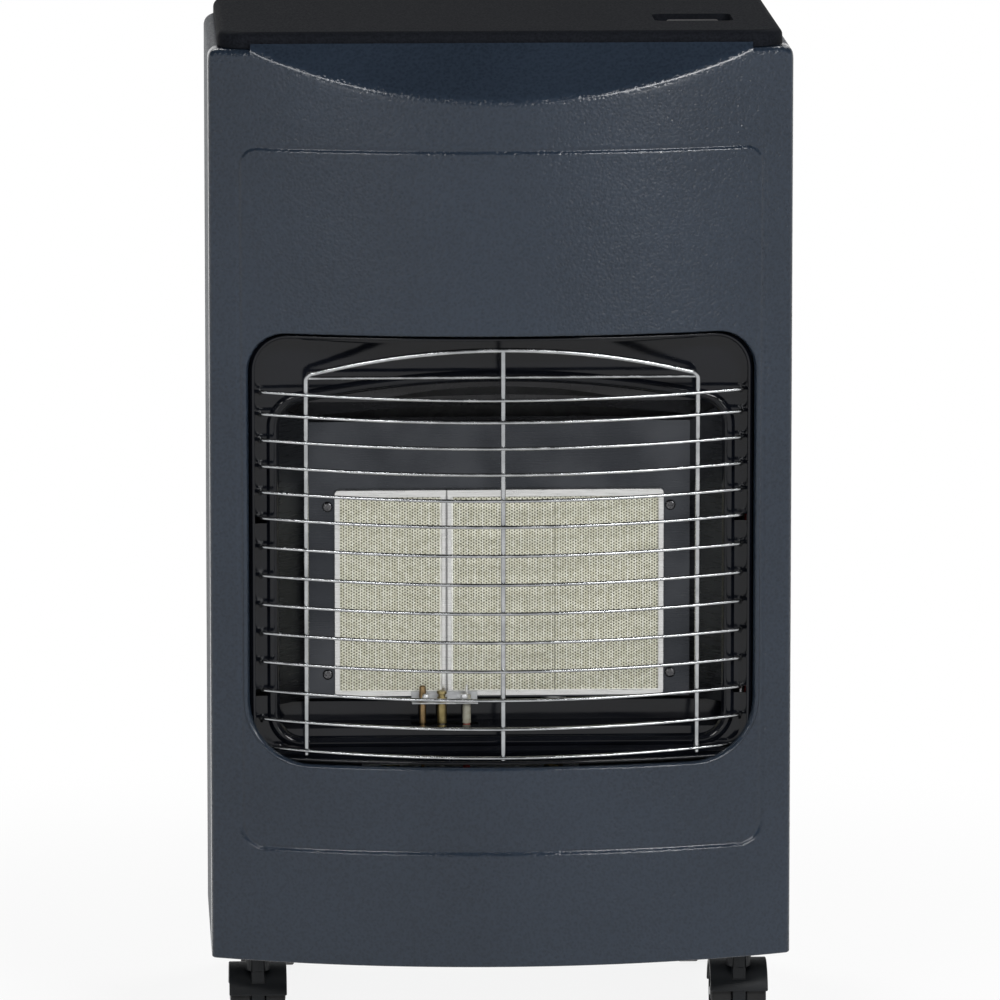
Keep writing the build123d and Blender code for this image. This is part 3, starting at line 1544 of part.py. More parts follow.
def caster_wheel(x, y, side):
    """One wheel of a twin-wheel caster, with a recessed outer face."""
    with BuildPart() as wheel:
        with BuildSketch(at_x(x + side * wheel_middle - wheel_width / 2)):
            with Locations((y + caster_trail, wheel_radius)):
                Circle(wheel_radius)
        extrude(amount=wheel_width)
        fillet(wheel.edges().filter_by(GeomType.CIRCLE), 1.5)
        with BuildSketch(at_x(x + side * (wheel_middle + wheel_width / 2 - 1.5))):
            with Locations((y + caster_trail, wheel_radius)):
                Circle(wheel_radius - 4)
                Circle(axle_radius + 3, mode=Mode.SUBTRACT)
        extrude(amount=side * 3, mode=Mode.SUBTRACT)
        with BuildSketch(at_x(x + side * wheel_middle)):
            with Locations((y + caster_trail, wheel_radius)):
                Circle(axle_radius + running_gap)
        extrude(amount=wheel_width, both=True, mode=Mode.SUBTRACT)
    return wheel.part


for place, (x, y) in caster_spots.items():
    outward = -1 if x < 0 else 1
    hood_form = caster_hood(x, y)
    outer_form = caster_wheel(x, y, outward)
    inner_form = caster_wheel(x, y, -outward)
    with BuildPart() as hood:
        add(hood_form)
    save(hood, f"caster_{place}_hood")
    with BuildPart() as axle:
        with BuildSketch(at_x(x - axle_length / 2)):
            with Locations((y + caster_trail, wheel_radius)):
                Circle(axle_radius)
        extrude(amount=axle_length)
    save(axle, f"caster_{place}_axle")
    with BuildPart() as wheel_outer:
        add(outer_form)
    save(wheel_outer, f"caster_{place}_wheel_outer")
    with BuildPart() as wheel_inner:
        add(inner_form)
    save(wheel_inner, f"caster_{place}_wheel_inner")
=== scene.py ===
from math import asin, atan2, cos, pi, radians, sin, sqrt

import bpy
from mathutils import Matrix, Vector


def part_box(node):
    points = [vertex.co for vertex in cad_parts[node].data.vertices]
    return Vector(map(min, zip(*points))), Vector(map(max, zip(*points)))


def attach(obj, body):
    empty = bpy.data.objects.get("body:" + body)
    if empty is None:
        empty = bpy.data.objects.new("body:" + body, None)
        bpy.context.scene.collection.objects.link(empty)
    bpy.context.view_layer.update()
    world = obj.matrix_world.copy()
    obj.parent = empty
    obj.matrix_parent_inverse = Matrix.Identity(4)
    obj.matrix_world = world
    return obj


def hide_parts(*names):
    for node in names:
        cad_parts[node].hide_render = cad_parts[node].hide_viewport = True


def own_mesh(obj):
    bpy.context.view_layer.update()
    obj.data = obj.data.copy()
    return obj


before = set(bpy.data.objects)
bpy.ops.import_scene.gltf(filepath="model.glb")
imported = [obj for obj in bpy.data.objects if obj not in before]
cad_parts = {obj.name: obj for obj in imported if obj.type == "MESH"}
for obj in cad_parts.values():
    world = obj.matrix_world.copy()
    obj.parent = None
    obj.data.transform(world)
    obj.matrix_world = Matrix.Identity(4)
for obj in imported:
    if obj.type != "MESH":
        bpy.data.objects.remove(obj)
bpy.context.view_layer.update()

mm = 0.001

# ---- Studio -------------------------------------------------------------------------------------
# A white floor and surround under a dim ceiling, with strong lamps to the right of the camera,
# weaker ones to its left and two soft boxes behind. The camera stands far off and a little above.

scene = bpy.context.scene
scene.view_settings.view_transform = "Standard"
photo_pixels = 1000
focal_pixels = 9512.8
sensor_width = 36
camera_distance = 7.0
camera_target = Vector((0.00517, 0.0, 0.37304))
lamp_distance = 2.9


def seen_from(azimuth, elevation):
    """Direction from the heater: azimuth 0 is to the front, and degrees go to the right and up."""
    across = radians(azimuth)
    up = radians(elevation)
    return Vector((sin(across) * cos(up), -cos(across) * cos(up), sin(up)))


outward = seen_from(-2.5, 9.0)
bpy.ops.object.camera_add(location=camera_target + camera_distance * outward)
camera = bpy.context.object
camera.rotation_euler = outward.to_track_quat("Z", "Y").to_euler()
camera.data.sensor_width = sensor_width
camera.data.lens = sensor_width * focal_pixels / photo_pixels
scene.camera = camera

for name, azimuth, elevation, width, height, power in (
    ("strip_right", 30, 27, 1.3, 0.24, 42),
    ("strip_left", -25, 27, 1.0, 0.2, 18),
    ("sheen_right", 27, 7, 0.5, 0.3, 3.0),
    ("sheen_left", -22, 7, 0.5, 0.3, 1.5),
    ("soft_box_rear_right", 140, 45, 1.2, 1.2, 26),
    ("soft_box_rear_left", -150, 45, 1.2, 1.2, 26),
):
    towards = seen_from(azimuth, elevation)
    bpy.ops.object.light_add(type="AREA", location=camera_target + lamp_distance * towards)
    light = bpy.context.object
    light.name = name
    light.rotation_euler = towards.to_track_quat("Z", "Y").to_euler()
    light.data.shape = "RECTANGLE"
    light.data.size = width
    light.data.size_y = height
    light.data.energy = power

bpy.ops.object.select_all(action="DESELECT")
bpy.ops.mesh.primitive_plane_add(size=24)
floor = bpy.context.object
floor.name = "studio_floor"


class Signal:
    """An output socket of a finish; the operators on it add Math nodes."""

    def __init__(self, finish, socket):
        self.finish = finish
        self.socket = socket

    def math(self, operation, *values):
        return self.finish.node("Math", {"operation": operation}, dict(enumerate(values)))

    def __add__(self, other):
        return self.math("ADD", self, other)

    def __sub__(self, other):
        return self.math("SUBTRACT", self, other)

    def __rsub__(self, other):
        return self.math("SUBTRACT", other, self)

    def __mul__(self, other):
        return self.math("MULTIPLY", self, other)

    __radd__ = __add__
    __rmul__ = __mul__

    def absolute(self):
        return self.math("ABSOLUTE", self)

    def root(self):
        return self.math("SQRT", self)

    def most(self, other):
        return self.math("MAXIMUM", self, other)

    def least(self, other):
        return self.math("MINIMUM", self, other)

    def wrapped(self, period):
        """The value folded into one period round zero."""
        return self.math("WRAP", self, -period / 2, period / 2)

    def ramp(self, low, high, start=0.0, end=1.0):
        """Smooth step from start to end while this value goes from low to high."""
        settings = {"interpolation_type": "SMOOTHSTEP"}
        return self.finish.node("MapRange", settings, {0: self, 1: low, 2: high, 3: start, 4: end})


class Nodes:
    """A node tree, and a method that adds any kind of node to it."""

    def __init__(self, tree):
        self.tree = tree

    def node(self, kind, settings, inputs, out=0):
        node = self.tree.nodes.new("ShaderNode" + kind)
        for setting, value in settings.items():
            setattr(node, setting, value)
        for socket, value in inputs.items():
            if isinstance(value, Signal):
                self.tree.links.new(value.socket, node.inputs[socket])
            else:
                node.inputs[socket].default_value = value
        return Signal(self, node.outputs[out])

    def part_of(self, vector):
        """The three numbers of a vector."""
        split = self.node("SeparateXYZ", {}, {0: vector})
        return [Signal(self, output) for output in split.socket.node.outputs]


class Finish(Nodes):
    """The material of a surface, with the nodes that vary it."""

    def __init__(self, name, **sockets):
        self.material = bpy.data.materials.new(name)
        self.material.use_nodes = True
        super().__init__(self.material.node_tree)
        self.shader = self.tree.nodes["Principled BSDF"]
        for socket, value in sockets.items():
            self.shader.inputs[socket.replace("_", " ")].default_value = value

    def place(self):
        return self.node("TexCoord", {}, {}, "Object")

    def stretched(self, x, y, z):
        return self.node("Mapping", {}, {"Vector": self.place(), "Scale": (x, y, z)})

    def noise(self, scale, detail=2.0, vector=None):
        vector = vector or self.place()
        return self.node("TexNoise", {}, {"Vector": vector, "Scale": scale, "Detail": detail})

    def mixed(self, factor, first, second):
        """A colour between two colours, each a tuple or the output of another mix."""
        colours = [c if isinstance(c, Signal) else (*c, 1) for c in (first, second)]
        inputs = {0: factor, 6: colours[0], 7: colours[1]}
        return self.node("Mix", {"data_type": "RGBA"}, inputs, 2)

    def tint(self, factor, first, second):
        self.feed("Base Color", self.mixed(factor, first, second))

    def bump(self, height, distance, strength=1.0):
        inputs = {"Height": height, "Distance": distance, "Strength": strength}
        self.feed("Normal", self.node("Bump", {}, inputs))

    def feed(self, socket, signal):
        self.tree.links.new(signal.socket, self.shader.inputs[socket])

    def cover(self, *pieces):
        """Give the finish to every slot of the pieces."""
        for piece in pieces:
            if not piece.material_slots:
                piece.data.materials.append(self.material)
            for material_slot in piece.material_slots:
                material_slot.material = self.material


def ray(nodes, kind):
    """1 for rays of one kind, and 0 for the others."""
    return nodes.node("LightPath", {}, {}, f"Is {kind} Ray")


# Away from the heater the floor glows white for the camera and for mirrors; other rays see it lit.
floor_white = (0.9, 0.9, 0.9, 1)
floor_finish = Finish("studio_floor", Base_Color=floor_white, Roughness=0.9, Specular_IOR_Level=0.1)
floor_x, floor_y, _ = floor_finish.part_of(floor_finish.place())
floor_far = (floor_x * floor_x + floor_y * floor_y).ramp(0.05, 1.0, 0.86, 1.0)
floor_mirror = ray(floor_finish, "Glossy").most(ray(floor_finish, "Transmission"))
floor_seen = ray(floor_finish, "Camera").most(floor_mirror)
floor_lit = Signal(floor_finish, floor_finish.shader.outputs[0])
floor_glow = floor_finish.node("Emission", {}, {"Color": (1, 1, 1, 1), "Strength": 1.0})
floor_mix = {0: floor_seen * floor_far, 1: floor_lit, 2: floor_glow}
floor_shown = floor_finish.node("MixShader", {}, floor_mix)
floor_output = floor_finish.tree.nodes["Material Output"]
floor_finish.tree.links.new(floor_shown.socket, floor_output.inputs[0])
floor_finish.cover(floor)

# The camera sees white all round. Mirrors see walls that darken fast with their height.
world = bpy.data.worlds.new("studio")
world.use_nodes = True
scene.world = world
sky = Nodes(world.node_tree)
sky_height = sky.part_of(sky.node("TexCoord", {}, {}, "Generated"))[2]
sky_white = ray(sky, "Camera").most(ray(sky, "Transmission"))
sky_mirror = ray(sky, "Glossy")
sky_seen = sky_height.ramp(0.0, 0.32, 1.0, 0.07)
sky_soft = sky_height.ramp(0.05, 0.55, 1.0, 0.1)
sky_room = sky_mirror * sky_seen + (1 - sky_mirror) * sky_soft
sky_level = sky_white + (1 - sky_white) * sky_room
background = world.node_tree.nodes["Background"]
background.inputs["Color"].default_value = (1, 1, 1, 1)
world.node_tree.links.new(sky_level.socket, background.inputs["Strength"])

# ---- Cabinet front ------------------------------------------------------------------------------
# One sheet of steel, pressed into a bow with an embossed field, a scooped top edge and a window
# whose edge is rolled inwards. It is powder coated in a fine texture of dark blue-grey, and screwed
# to the base.

front_low, front_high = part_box("front_panel")
front_half = front_high[0]
front_y = -0.1817
bow_radius = 0.523136
corner_radius = 5 * mm
lip_width = 10 * mm
lip_radius = 1.6 * mm
edge_rounding = 5 * mm
ear_radius = 7 * mm
ear_height = 0.723
scoop_half = 0.180
scoop_crease = 0.689
scoop_slope = 34 / 32
field_half = 0.1885
field_low = 0.144
field_high = 0.653
field_middle = (field_low + field_high) / 2
field_top_radius = 13 * mm
field_bottom_radius = 18 * mm
field_proud = 0.5 * mm
field_sunk = 1.0 * mm
emboss_width = 3.0 * mm
groove_half = 2.3 * mm
groove_depth = 0.9 * mm
window_half = 0.184
window_low = 0.206
window_high = 0.5195
window_top_radius = 29 * mm
window_bottom_radius = 45 * mm
panel_sheet = 1.2 * mm
cutter_front = -0.2
cutter_rear = -0.11
rim_width = 2.4 * mm
rim_depth = 5 * mm
rim_sheet = 1.0 * mm
fine_step = 0.75 * mm
least_step = 0.2 * mm


def bow(x):
    """Depth of the bowed face at width x."""
    return front_y + bow_radius - sqrt(bow_radius**2 - x**2)


def spread(low, high, step):
    """Evenly spaced values from low to high, about step apart."""
    count = max(1, round(abs((high - low) / step)))
    return [low + (high - low) * index / count for index in range(count + 1)]


def smooth_step(value):
    """Smooth rise from 0 to 1 while the value does the same."""
    value = min(max(value, 0), 1)
    return value * value * (3 - 2 * value)


def emboss(x, z):
    """How far the face stands out: its field is proud at the top, sunk at the foot and grooved."""
    radius = field_top_radius if z > field_middle else field_bottom_radius
    beside = abs(x) - field_half + radius
    above = abs(z - field_middle) - (field_high - field_low) / 2 + radius
    outside = sqrt(max(beside, 0) ** 2 + max(above, 0) ** 2) + min(max(beside, above), 0) - radius
    share = smooth_step(0.5 - outside / emboss_width)
    height = (z - field_low) / (field_high - field_low)
    groove = groove_depth * max(1 - (outside / groove_half) ** 2, 0) ** 2
    return share * (-field_sunk + (field_proud + field_sunk) * min(max(height, 0), 1)) - groove


def face_point(x, z, behind=0.0):
    """Point of the pressed face, or a little behind it."""
    lean = x / bow_radius
    out = emboss(x, z) - behind
    return (x + lean * out, bow(x) - sqrt(1 - lean**2) * out, z)


def pressed_sheet(name, points):
    """A grid whose vertices are pressed onto rows of points, merged where they meet."""
    bpy.ops.object.select_all(action="DESELECT")
    columns = len(points[0])
    bpy.ops.mesh.primitive_grid_add(x_subdivisions=columns - 1, y_subdivisions=len(points) - 1)
    sheet = bpy.context.object
    sheet.name = name
    for index, vertex in enumerate(sheet.data.vertices):
        vertex.co = points[index // columns][index % columns]
    bpy.ops.object.mode_set(mode="EDIT")
    bpy.ops.mesh.select_all(action="SELECT")
    bpy.ops.mesh.remove_doubles(threshold=0.02 * mm)
    bpy.ops.mesh.normals_make_consistent(inside=False)
    bpy.ops.object.mode_set(mode="OBJECT")
    return sheet


def pick(piece):
    """Select one piece alone and make it active."""
    bpy.ops.object.select_all(action="DESELECT")
    piece.select_set(True)
    bpy.context.view_layer.objects.active = piece


def modify(piece, kind, **settings):
    """Add one modifier and apply it."""
    pick(piece)
    modifier = piece.modifiers.new(kind, kind)
    for setting, value in settings.items():
        setattr(modifier, setting, value)
    bpy.ops.object.modifier_apply(modifier=modifier.name)


def cut(piece, cutter):
    """Take a cutter's volume out of a piece, and the cutter out of the scene."""
    modify(piece, "BOOLEAN", operation="DIFFERENCE", object=cutter, solver="EXACT")
    bpy.data.objects.remove(cutter)


def smooth(piece, angle=35):
    """Shade smooth wherever faces meet at less than the angle, in degrees."""
    pick(piece)
    bpy.ops.object.shade_smooth_by_angle(angle=radians(angle))


def face_forwards(piece):
    """Turn the faces of an open sheet to the front."""
    if sum(polygon.normal.y * polygon.area for polygon in piece.data.polygons) > 0:
        piece.data.flip_normals()


def stand_for(piece, body, node):
    """Let a new piece ride on a body and stand for a CAD node."""
    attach(piece, body)
    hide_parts(node)


def front_plan():
    """Half of the front's plan, from the middle to the rear edge, with its outward direction."""
    fillet_x = front_half - corner_radius
    fillet_y = front_y + bow_radius - sqrt((bow_radius - corner_radius) ** 2 - fillet_x**2)
    tangent = asin(fillet_x / (bow_radius - corner_radius))
    fine_from = field_half - 15 * mm
    fine_to = bow_radius * sin(tangent)
    plan = []
    for x in spread(0, fine_from, 4.5 * mm)[:-1] + spread(fine_from, fine_to, fine_step):
        plan.append((x, bow(x), x / bow_radius, -sqrt(1 - (x / bow_radius) ** 2)))
    for turn in spread(tangent, pi / 2, 0.14)[1:]:
        across = corner_radius * sin(turn)
        forward = corner_radius * cos(turn)
        plan.append((fillet_x + across, fillet_y - forward, sin(turn), -cos(turn)))
    for y in spread(fillet_y, front_high[1], 6 * mm)[1:]:
        plan.append((front_half, y, 1, 0))
    return plan


def front_column(x, y, nx, ny, scooped):
    """One column of the front: the lip under it, the face, and the scoop or the top of an ear.

    Its rows stand close together where the edges of the field are embossed.
    """
    low = front_low[2]
    column = [(x - nx * lip_width, y - ny * lip_width, low)]
    for turn in spread(0, pi / 2, pi / 10):
        back = lip_radius * (1 - sin(turn))
        column.append((x - nx * back, y - ny * back, low + lip_radius * (1 - cos(turn))))
    heights = spread(low + 3 * mm, field_low - 5 * mm, 7 * mm)
    heights += spread(field_low - 4 * mm, field_low + 18 * mm, fine_step)
    heights += spread(field_low + 22 * mm, field_high - 17 * mm, 8 * mm)
    heights += spread(field_high - 13 * mm, field_high + 4 * mm, fine_step)
    for z in heights:
        out = emboss(x, z) if abs(nx) < 0.5 else 0
        column.append((x + nx * out, y + ny * out, z))
    if scooped:
        edge = scoop_crease + scoop_slope * (y - front_y)
        rise = front_high[2] - edge
        back = rise / scoop_slope
    else:
        beyond = max(abs(x) - front_half + ear_radius, 0)
        edge = ear_height - ear_radius + sqrt(ear_radius**2 - beyond**2)
        rise = 0
        back = front_high[1] - y
    for share in (0.15, 0.4, 0.7, 0.9, 1.0):
        column.append((x, y, heights[-1] + (edge - edge_rounding - heights[-1]) * share))
    reach = min(edge_rounding / max(sqrt(back**2 + rise**2), 0.01 * mm), 0.45)
    for share in (0.2, 0.4, 0.6, 0.8, 1.0):
        before = (1 - share) ** 2 * edge_rounding
        after = share**2 * reach
        column.append((x, y + after * back, edge - before + after * rise))
    for share in (0.3, 0.6, 1.0):
        ahead = reach + (1 - reach) * share
        column.append((x, y + ahead * back, edge + ahead * rise))
    return column


right_half = []
previous_x = 0.0
for x, y, nx, ny in front_plan():
    if x >= scoop_half > previous_x:
        lean = scoop_half / bow_radius
        scoop_end = (scoop_half, bow(scoop_half), lean, -sqrt(1 - lean**2))
        for scooped in (True, False):
            right_half.append(front_column(*scoop_end, scooped))
    if abs(x - scoop_half) > least_step:
        right_half.append(front_column(x, y, nx, ny, x < scoop_half))
    previous_x = x
left_half = [[(-x, y, z) for x, y, z in column] for column in right_half[:0:-1]]
cabinet_front = pressed_sheet("cabinet_front", left_half + right_half)
face_forwards(cabinet_front)
modify(cabinet_front, "SOLIDIFY", thickness=panel_sheet, offset=-1)


def sector(centre, radius, start, end, count):
    """Points of an arc with their directions."""
    points = []
    for index in range(count + 1):
        turn = start + (end - start) * index / count
        dx, dz = cos(turn), sin(turn)
        points.append((centre[0] + radius * dx, centre[1] + radius * dz, dx, dz))
    return points


def rounded_ring(half, low, high, low_radius, high_radius, arch=0.0):
    """Points round a rounded rectangle with their outward directions; its top may be arched."""
    corner_count = 14
    side_count = 40
    corner_x = half - high_radius
    if arch:
        arch_radius = (half**2 + arch**2) / (2 * arch)
        arch_z = high + arch - arch_radius
        corner_z = arch_z + sqrt((arch_radius - high_radius) ** 2 - corner_x**2)
        meet = atan2(corner_z - arch_z, corner_x)
        top = sector((0, arch_z), arch_radius, pi / 2, pi - meet, side_count // 2)
    else:
        corner_z = high - high_radius
        meet = pi / 2
        top = [(-x, high, 0, 1) for x in spread(0, corner_x, corner_x / (side_count // 2))]
    foot_x = half - low_radius
    foot_z = low + low_radius
    left = top[:-1] + sector((-corner_x, corner_z), high_radius, pi - meet, pi, corner_count)[:-1]
    side = spread(corner_z, foot_z, (corner_z - foot_z) / side_count)
    left += [(-half, z, -1, 0) for z in side[:-1]]
    left += sector((-foot_x, foot_z), low_radius, pi, 1.5 * pi, corner_count)[:-1]
    left += [(x, low, 0, -1) for x in spread(-foot_x, 0, foot_x / (side_count // 2))]
    return left + [(-x, z, -dx, dz) for x, z, dx, dz in left[-2:0:-1]]


def ring_sheet(name, rows):
    """A sheet that runs round the window, its rows closed and its faces to the front."""
    sheet = pressed_sheet(name, [row + row[:1] for row in rows])
    face_forwards(sheet)
    return sheet


window_radii = (window_bottom_radius, window_top_radius)
window_ring = rounded_ring(window_half, window_low, window_high, *window_radii)
cut_rows = []
for y in (cutter_front, cutter_rear):
    cut_rows.append([(x + rim_width * dx, y, z + rim_width * dz) for x, z, dx, dz in window_ring])
cutter = pressed_sheet("window_cutter", [row + row[:1] for row in cut_rows])
bpy.ops.object.mode_set(mode="EDIT")
bpy.ops.mesh.select_all(action="SELECT")
bpy.ops.mesh.fill_holes(sides=0)
bpy.ops.mesh.normals_make_consistent(inside=False)
bpy.ops.object.mode_set(mode="OBJECT")
cut(cabinet_front, cutter)
smooth(cabinet_front, 30)
stand_for(cabinet_front, "cabinet", "front_panel")

rim_rows = []
for turn in spread(0, pi / 2, pi / 14):
    grow = rim_width * (1 - sin(turn))
    behind = rim_width * (1 - cos(turn))
    row = [face_point(x + grow * dx, z + grow * dz, behind) for x, z, dx, dz in window_ring]
    rim_rows.append(row)
rim_rows.append([face_point(x, z, rim_depth) for x, z, dx, dz in window_ring])
window_rim = ring_sheet("window_rim", rim_rows)
modify(window_rim, "SOLIDIFY", thickness=rim_sheet, offset=-1)
smooth(window_rim, 50)
stand_for(window_rim, "cabinet", "front_panel")

paint = Finish("cabinet_paint", Specular_IOR_Level=0.22, Coat_Weight=0.3, Coat_Roughness=0.14)
paint_cells = {"Vector": paint.place(), "Scale": 460}
paint_dimples = paint.node("TexVoronoi", {"feature": "SMOOTH_F1"}, paint_cells, "Distance")
paint_grain = paint_dimples * 0.7 + paint.noise(560, 2) * 0.5
paint_drift = paint.noise(7, 2)
paint_shade = paint_drift.ramp(0.3, 0.7) * 0.4 + paint_grain.ramp(0.3, 0.7) * 0.6
paint.tint(paint_shade, (0.0105, 0.0165, 0.0265), (0.0175, 0.0265, 0.0415))
paint.feed("Roughness", paint_grain.ramp(0.35, 0.65, 0.09, 0.15))
paint.bump(paint_grain, 0.6 * mm)
paint.cover(cabinet_front, window_rim)

# ---- Cabinet sides, rear cover and base ---------------------------------------------------------
# Folded and pressed steel in the same paint, with galvanised sheet inside. The sides wrap round to
# the rear, where a dished cover with louvres lifts off. The base is a tray with the casters under
# it, and zinc-plated screws hold the sheets together.


def softened(node, body, finish, corner=0.4 * mm):
    """A copy of a CAD node with rounded corners and smooth curves."""
    piece = bpy.data.objects.new(f"{node}_finished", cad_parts[node].data.copy())
    scene.collection.objects.link(piece)
    pick(piece)
    bpy.ops.object.mode_set(mode="EDIT")
    bpy.ops.mesh.select_all(action="SELECT")
    bpy.ops.mesh.remove_doubles(threshold=0.01 * mm)
    bpy.ops.mesh.dissolve_limited(angle_limit=radians(1))
    bpy.ops.object.mode_set(mode="OBJECT")
    if corner:
        rounding = {"width": corner, "segments": 2, "use_clamp_overlap": False}
        modify(piece, "BEVEL", limit_method="ANGLE", angle_limit=radians(40), **rounding)
    smooth(piece)
    modify(piece, "WEIGHTED_NORMAL", keep_sharp=True)
    stand_for(piece, body, node)
    finish.cover(piece)
    return piece


side_paint = Finish("cabinet_paint_sides", Specular_IOR_Level=0.15)
side_grain = side_paint.noise(560, 2)
side_shade = side_paint.noise(7, 2).ramp(0.3, 0.7) * 0.4 + side_grain.ramp(0.3, 0.7) * 0.6
side_paint.tint(side_shade, (0.0125, 0.019, 0.0295), (0.019, 0.028, 0.043))
side_paint.feed("Roughness", side_grain.ramp(0.35, 0.65, 0.36, 0.5))
side_paint.bump(side_grain, 0.5 * mm, 0.7)
for side in ("left", "right"):
    softened(f"side_panel_{side}", "cabinet", side_paint)
softened("rear_cover", "rear_cover", side_paint)


def zinc_flaked(name, dark, light, smoothest, roughest):
    """Hot-dipped zinc, whose flakes differ in tone and sheen."""
    finish = Finish(name, Metallic=1.0)
    cells = {"Vector": finish.place(), "Scale": 160}
    flakes = finish.part_of(finish.node("TexVoronoi", {}, cells, "Color"))[0]
    finish.tint(flakes, dark, light)
    finish.feed("Roughness", flakes.ramp(0, 1, smoothest, roughest))
    return finish


galvanised = zinc_flaked("galvanised", (0.42, 0.43, 0.44), (0.60, 0.61, 0.62), 0.34, 0.52)
for node in ("base_plate", "injector_bracket", "valve_bracket"):
    softened(node, "cabinet", galvanised)
# The heat shield's zinc is painted far darker than zinc's own tone. This is painted shade, for the
# shade it lies in behind the hood's slots.
painted_shade_tones = ((0.045, 0.046, 0.048), (0.075, 0.076, 0.078))
zinc_painted_shade = zinc_flaked("galvanised_painted_shade", *painted_shade_tones, 0.42, 0.6)
softened("heat_shield", "cabinet", zinc_painted_shade)

zinc = Finish("zinc", Metallic=1.0)
zinc.tint(zinc.noise(300).ramp(0.3, 0.7), (0.42, 0.41, 0.38), (0.55, 0.54, 0.50))
zinc.feed("Roughness", zinc.noise(500).ramp(0.3, 0.7, 0.30, 0.45))
softened("cabinet_screws", "cabinet", zinc, 0.5 * mm)

# ---- Top cover ----------------------------------------------------------------------------------
# A pressed lid with rounded corners, screwed down from inside, in a darker neutral paint. Its well
# holds the control knob, and its front lip overhangs the scoop.

lid_paint = Finish("top_paint", Specular_IOR_Level=0.01)
lid_grain = lid_paint.noise(620, 3)
lid_paint.tint(lid_grain.ramp(0.3, 0.7), (0.0060, 0.0068, 0.0088), (0.0110, 0.0122, 0.0155))
lid_paint.feed("Roughness", lid_grain.ramp(0.35, 0.65, 0.5, 0.66))
lid_paint.bump(lid_grain, 0.35 * mm, 0.5)
softened("top_cover", "cabinet", lid_paint)

# ---- Firebox surround ---------------------------------------------------------------------------
# A black enamelled dish behind the window: a rolled rim, a short wall and a flat flange whose
# arched opening takes the reflector. The enamel is glossy, and two slots on each side take the
# guard's hooks.

flange_y = -0.133
dish_gap = 2.5 * mm
dish_radius = 22.5 * mm
dish_fillet = 8 * mm
dish_sheet = 0.9 * mm
rim_roll = 1.2 * mm
roll_inset = 0.1 * mm
roll_depth = 7.4 * mm
wall_depth = 9.5 * mm
opening_half = 0.160
opening_low = 0.222
opening_high = 0.462
opening_radius = 17 * mm
opening_arch = 18 * mm
bead_width = 9 * mm
bead_proud = 2.2 * mm
opening_lip = 2.4 * mm
lowest_row = 0.2123
lower_gap = 21.05 * mm
upper_gap = 19 * mm
top_gap = 16 * mm
guard_rows = [lowest_row + lower_gap * row for row in range(9)]
guard_rows += [guard_rows[8] + upper_gap * row for row in range(1, 5)]
guard_rows.append(guard_rows[-1] + top_gap)
hook_rows = (2, 8)
hook_x = 0.17325
hook_slot = (9 * mm, 8 * mm, 5 * mm)


def dish_ring(shrink):
    """The dish's inner outline, moved in by shrink."""
    half = window_half - shrink
    low = window_low + shrink
    high = window_high - shrink
    return rounded_ring(half, low, high, dish_radius - shrink, window_top_radius - shrink)


opening_corners = (opening_radius, opening_radius, opening_arch)
opening_ring = rounded_ring(opening_half, opening_low, opening_high, *opening_corners)
dish_rows = []
wall_ring = dish_ring(dish_gap)
for turn in spread(-0.2 * pi, pi, 0.12 * pi):
    grow = rim_roll * cos(turn) - roll_inset
    behind = roll_depth - rim_roll * sin(turn)
    row = [face_point(x + grow * dx, z + grow * dz, behind) for x, z, dx, dz in wall_ring]
    dish_rows.append(row)
for share in (0.0, 0.4, 0.8, 1.0):
    row = []
    for x, z, dx, dz in wall_ring:
        start = face_point(x, z, wall_depth)[1]
        row.append((x, start + (flange_y - dish_fillet - start) * share, z))
    dish_rows.append(row)
for turn in spread(0, pi / 2, pi / 12)[1:]:
    shrink = dish_fillet * (1 - cos(turn))
    depth = flange_y - dish_fillet * (1 - sin(turn))
    dish_rows.append([(x, depth, z) for x, z, dx, dz in dish_ring(dish_gap + shrink)])
bead_ring = [(x + bead_width * dx, z + bead_width * dz) for x, z, dx, dz in opening_ring]
for share in (0.35, 0.7):
    row = []
    for outer, inner in zip(dish_ring(dish_gap + dish_fillet), bead_ring):
        x, z = (outer[axis] + (inner[axis] - outer[axis]) * share for axis in (0, 1))
        row.append((x, flange_y, z))
    dish_rows.append(row)
for share in spread(0, 1, 0.08):
    grow = bead_width * (1 - share)
    turned_in = opening_lip * max(share - 0.85, 0) / 0.15
    depth = flange_y - bead_proud * sin(pi * min(share * 1.15, 1)) + turned_in
    dish_rows.append([(x + grow * dx, depth, z + grow * dz) for x, z, dx, dz in opening_ring])
firebox_dish = ring_sheet("firebox_dish", dish_rows)
modify(firebox_dish, "SOLIDIFY", thickness=dish_sheet, offset=-1)
hook_low, hook_high = (guard_rows[row] for row in hook_rows)
bpy.ops.object.select_all(action="DESELECT")
bpy.ops.mesh.primitive_cube_add(size=1)
slot_cutter = bpy.context.object
bpy.ops.object.mode_set(mode="EDIT")
bpy.ops.transform.resize(value=hook_slot)
bpy.ops.transform.translate(value=(-hook_x, flange_y, hook_low))
bpy.ops.mesh.duplicate()
bpy.ops.transform.translate(value=(0, 0, hook_high - hook_low))
bpy.ops.mesh.select_all(action="SELECT")
bpy.ops.mesh.duplicate()
bpy.ops.transform.translate(value=(2 * hook_x, 0, 0))
bpy.ops.object.mode_set(mode="OBJECT")
cut(firebox_dish, slot_cutter)
smooth(firebox_dish, 40)
stand_for(firebox_dish, "cabinet", "firebox_surround")

enamel = Finish("black_enamel", Specular_IOR_Level=0.3)
enamel_ripple = enamel.noise(26, 2)
enamel.tint(enamel.noise(12).ramp(0.3, 0.7), (0.0025, 0.0030, 0.0048), (0.0042, 0.0050, 0.0075))
enamel.feed("Roughness", enamel_ripple.ramp(0.3, 0.7, 0.07, 0.13))
enamel.bump(enamel_ripple, 1.2 * mm, 0.25)
enamel.cover(firebox_dish)
softened("lower_tray", "cabinet", enamel)
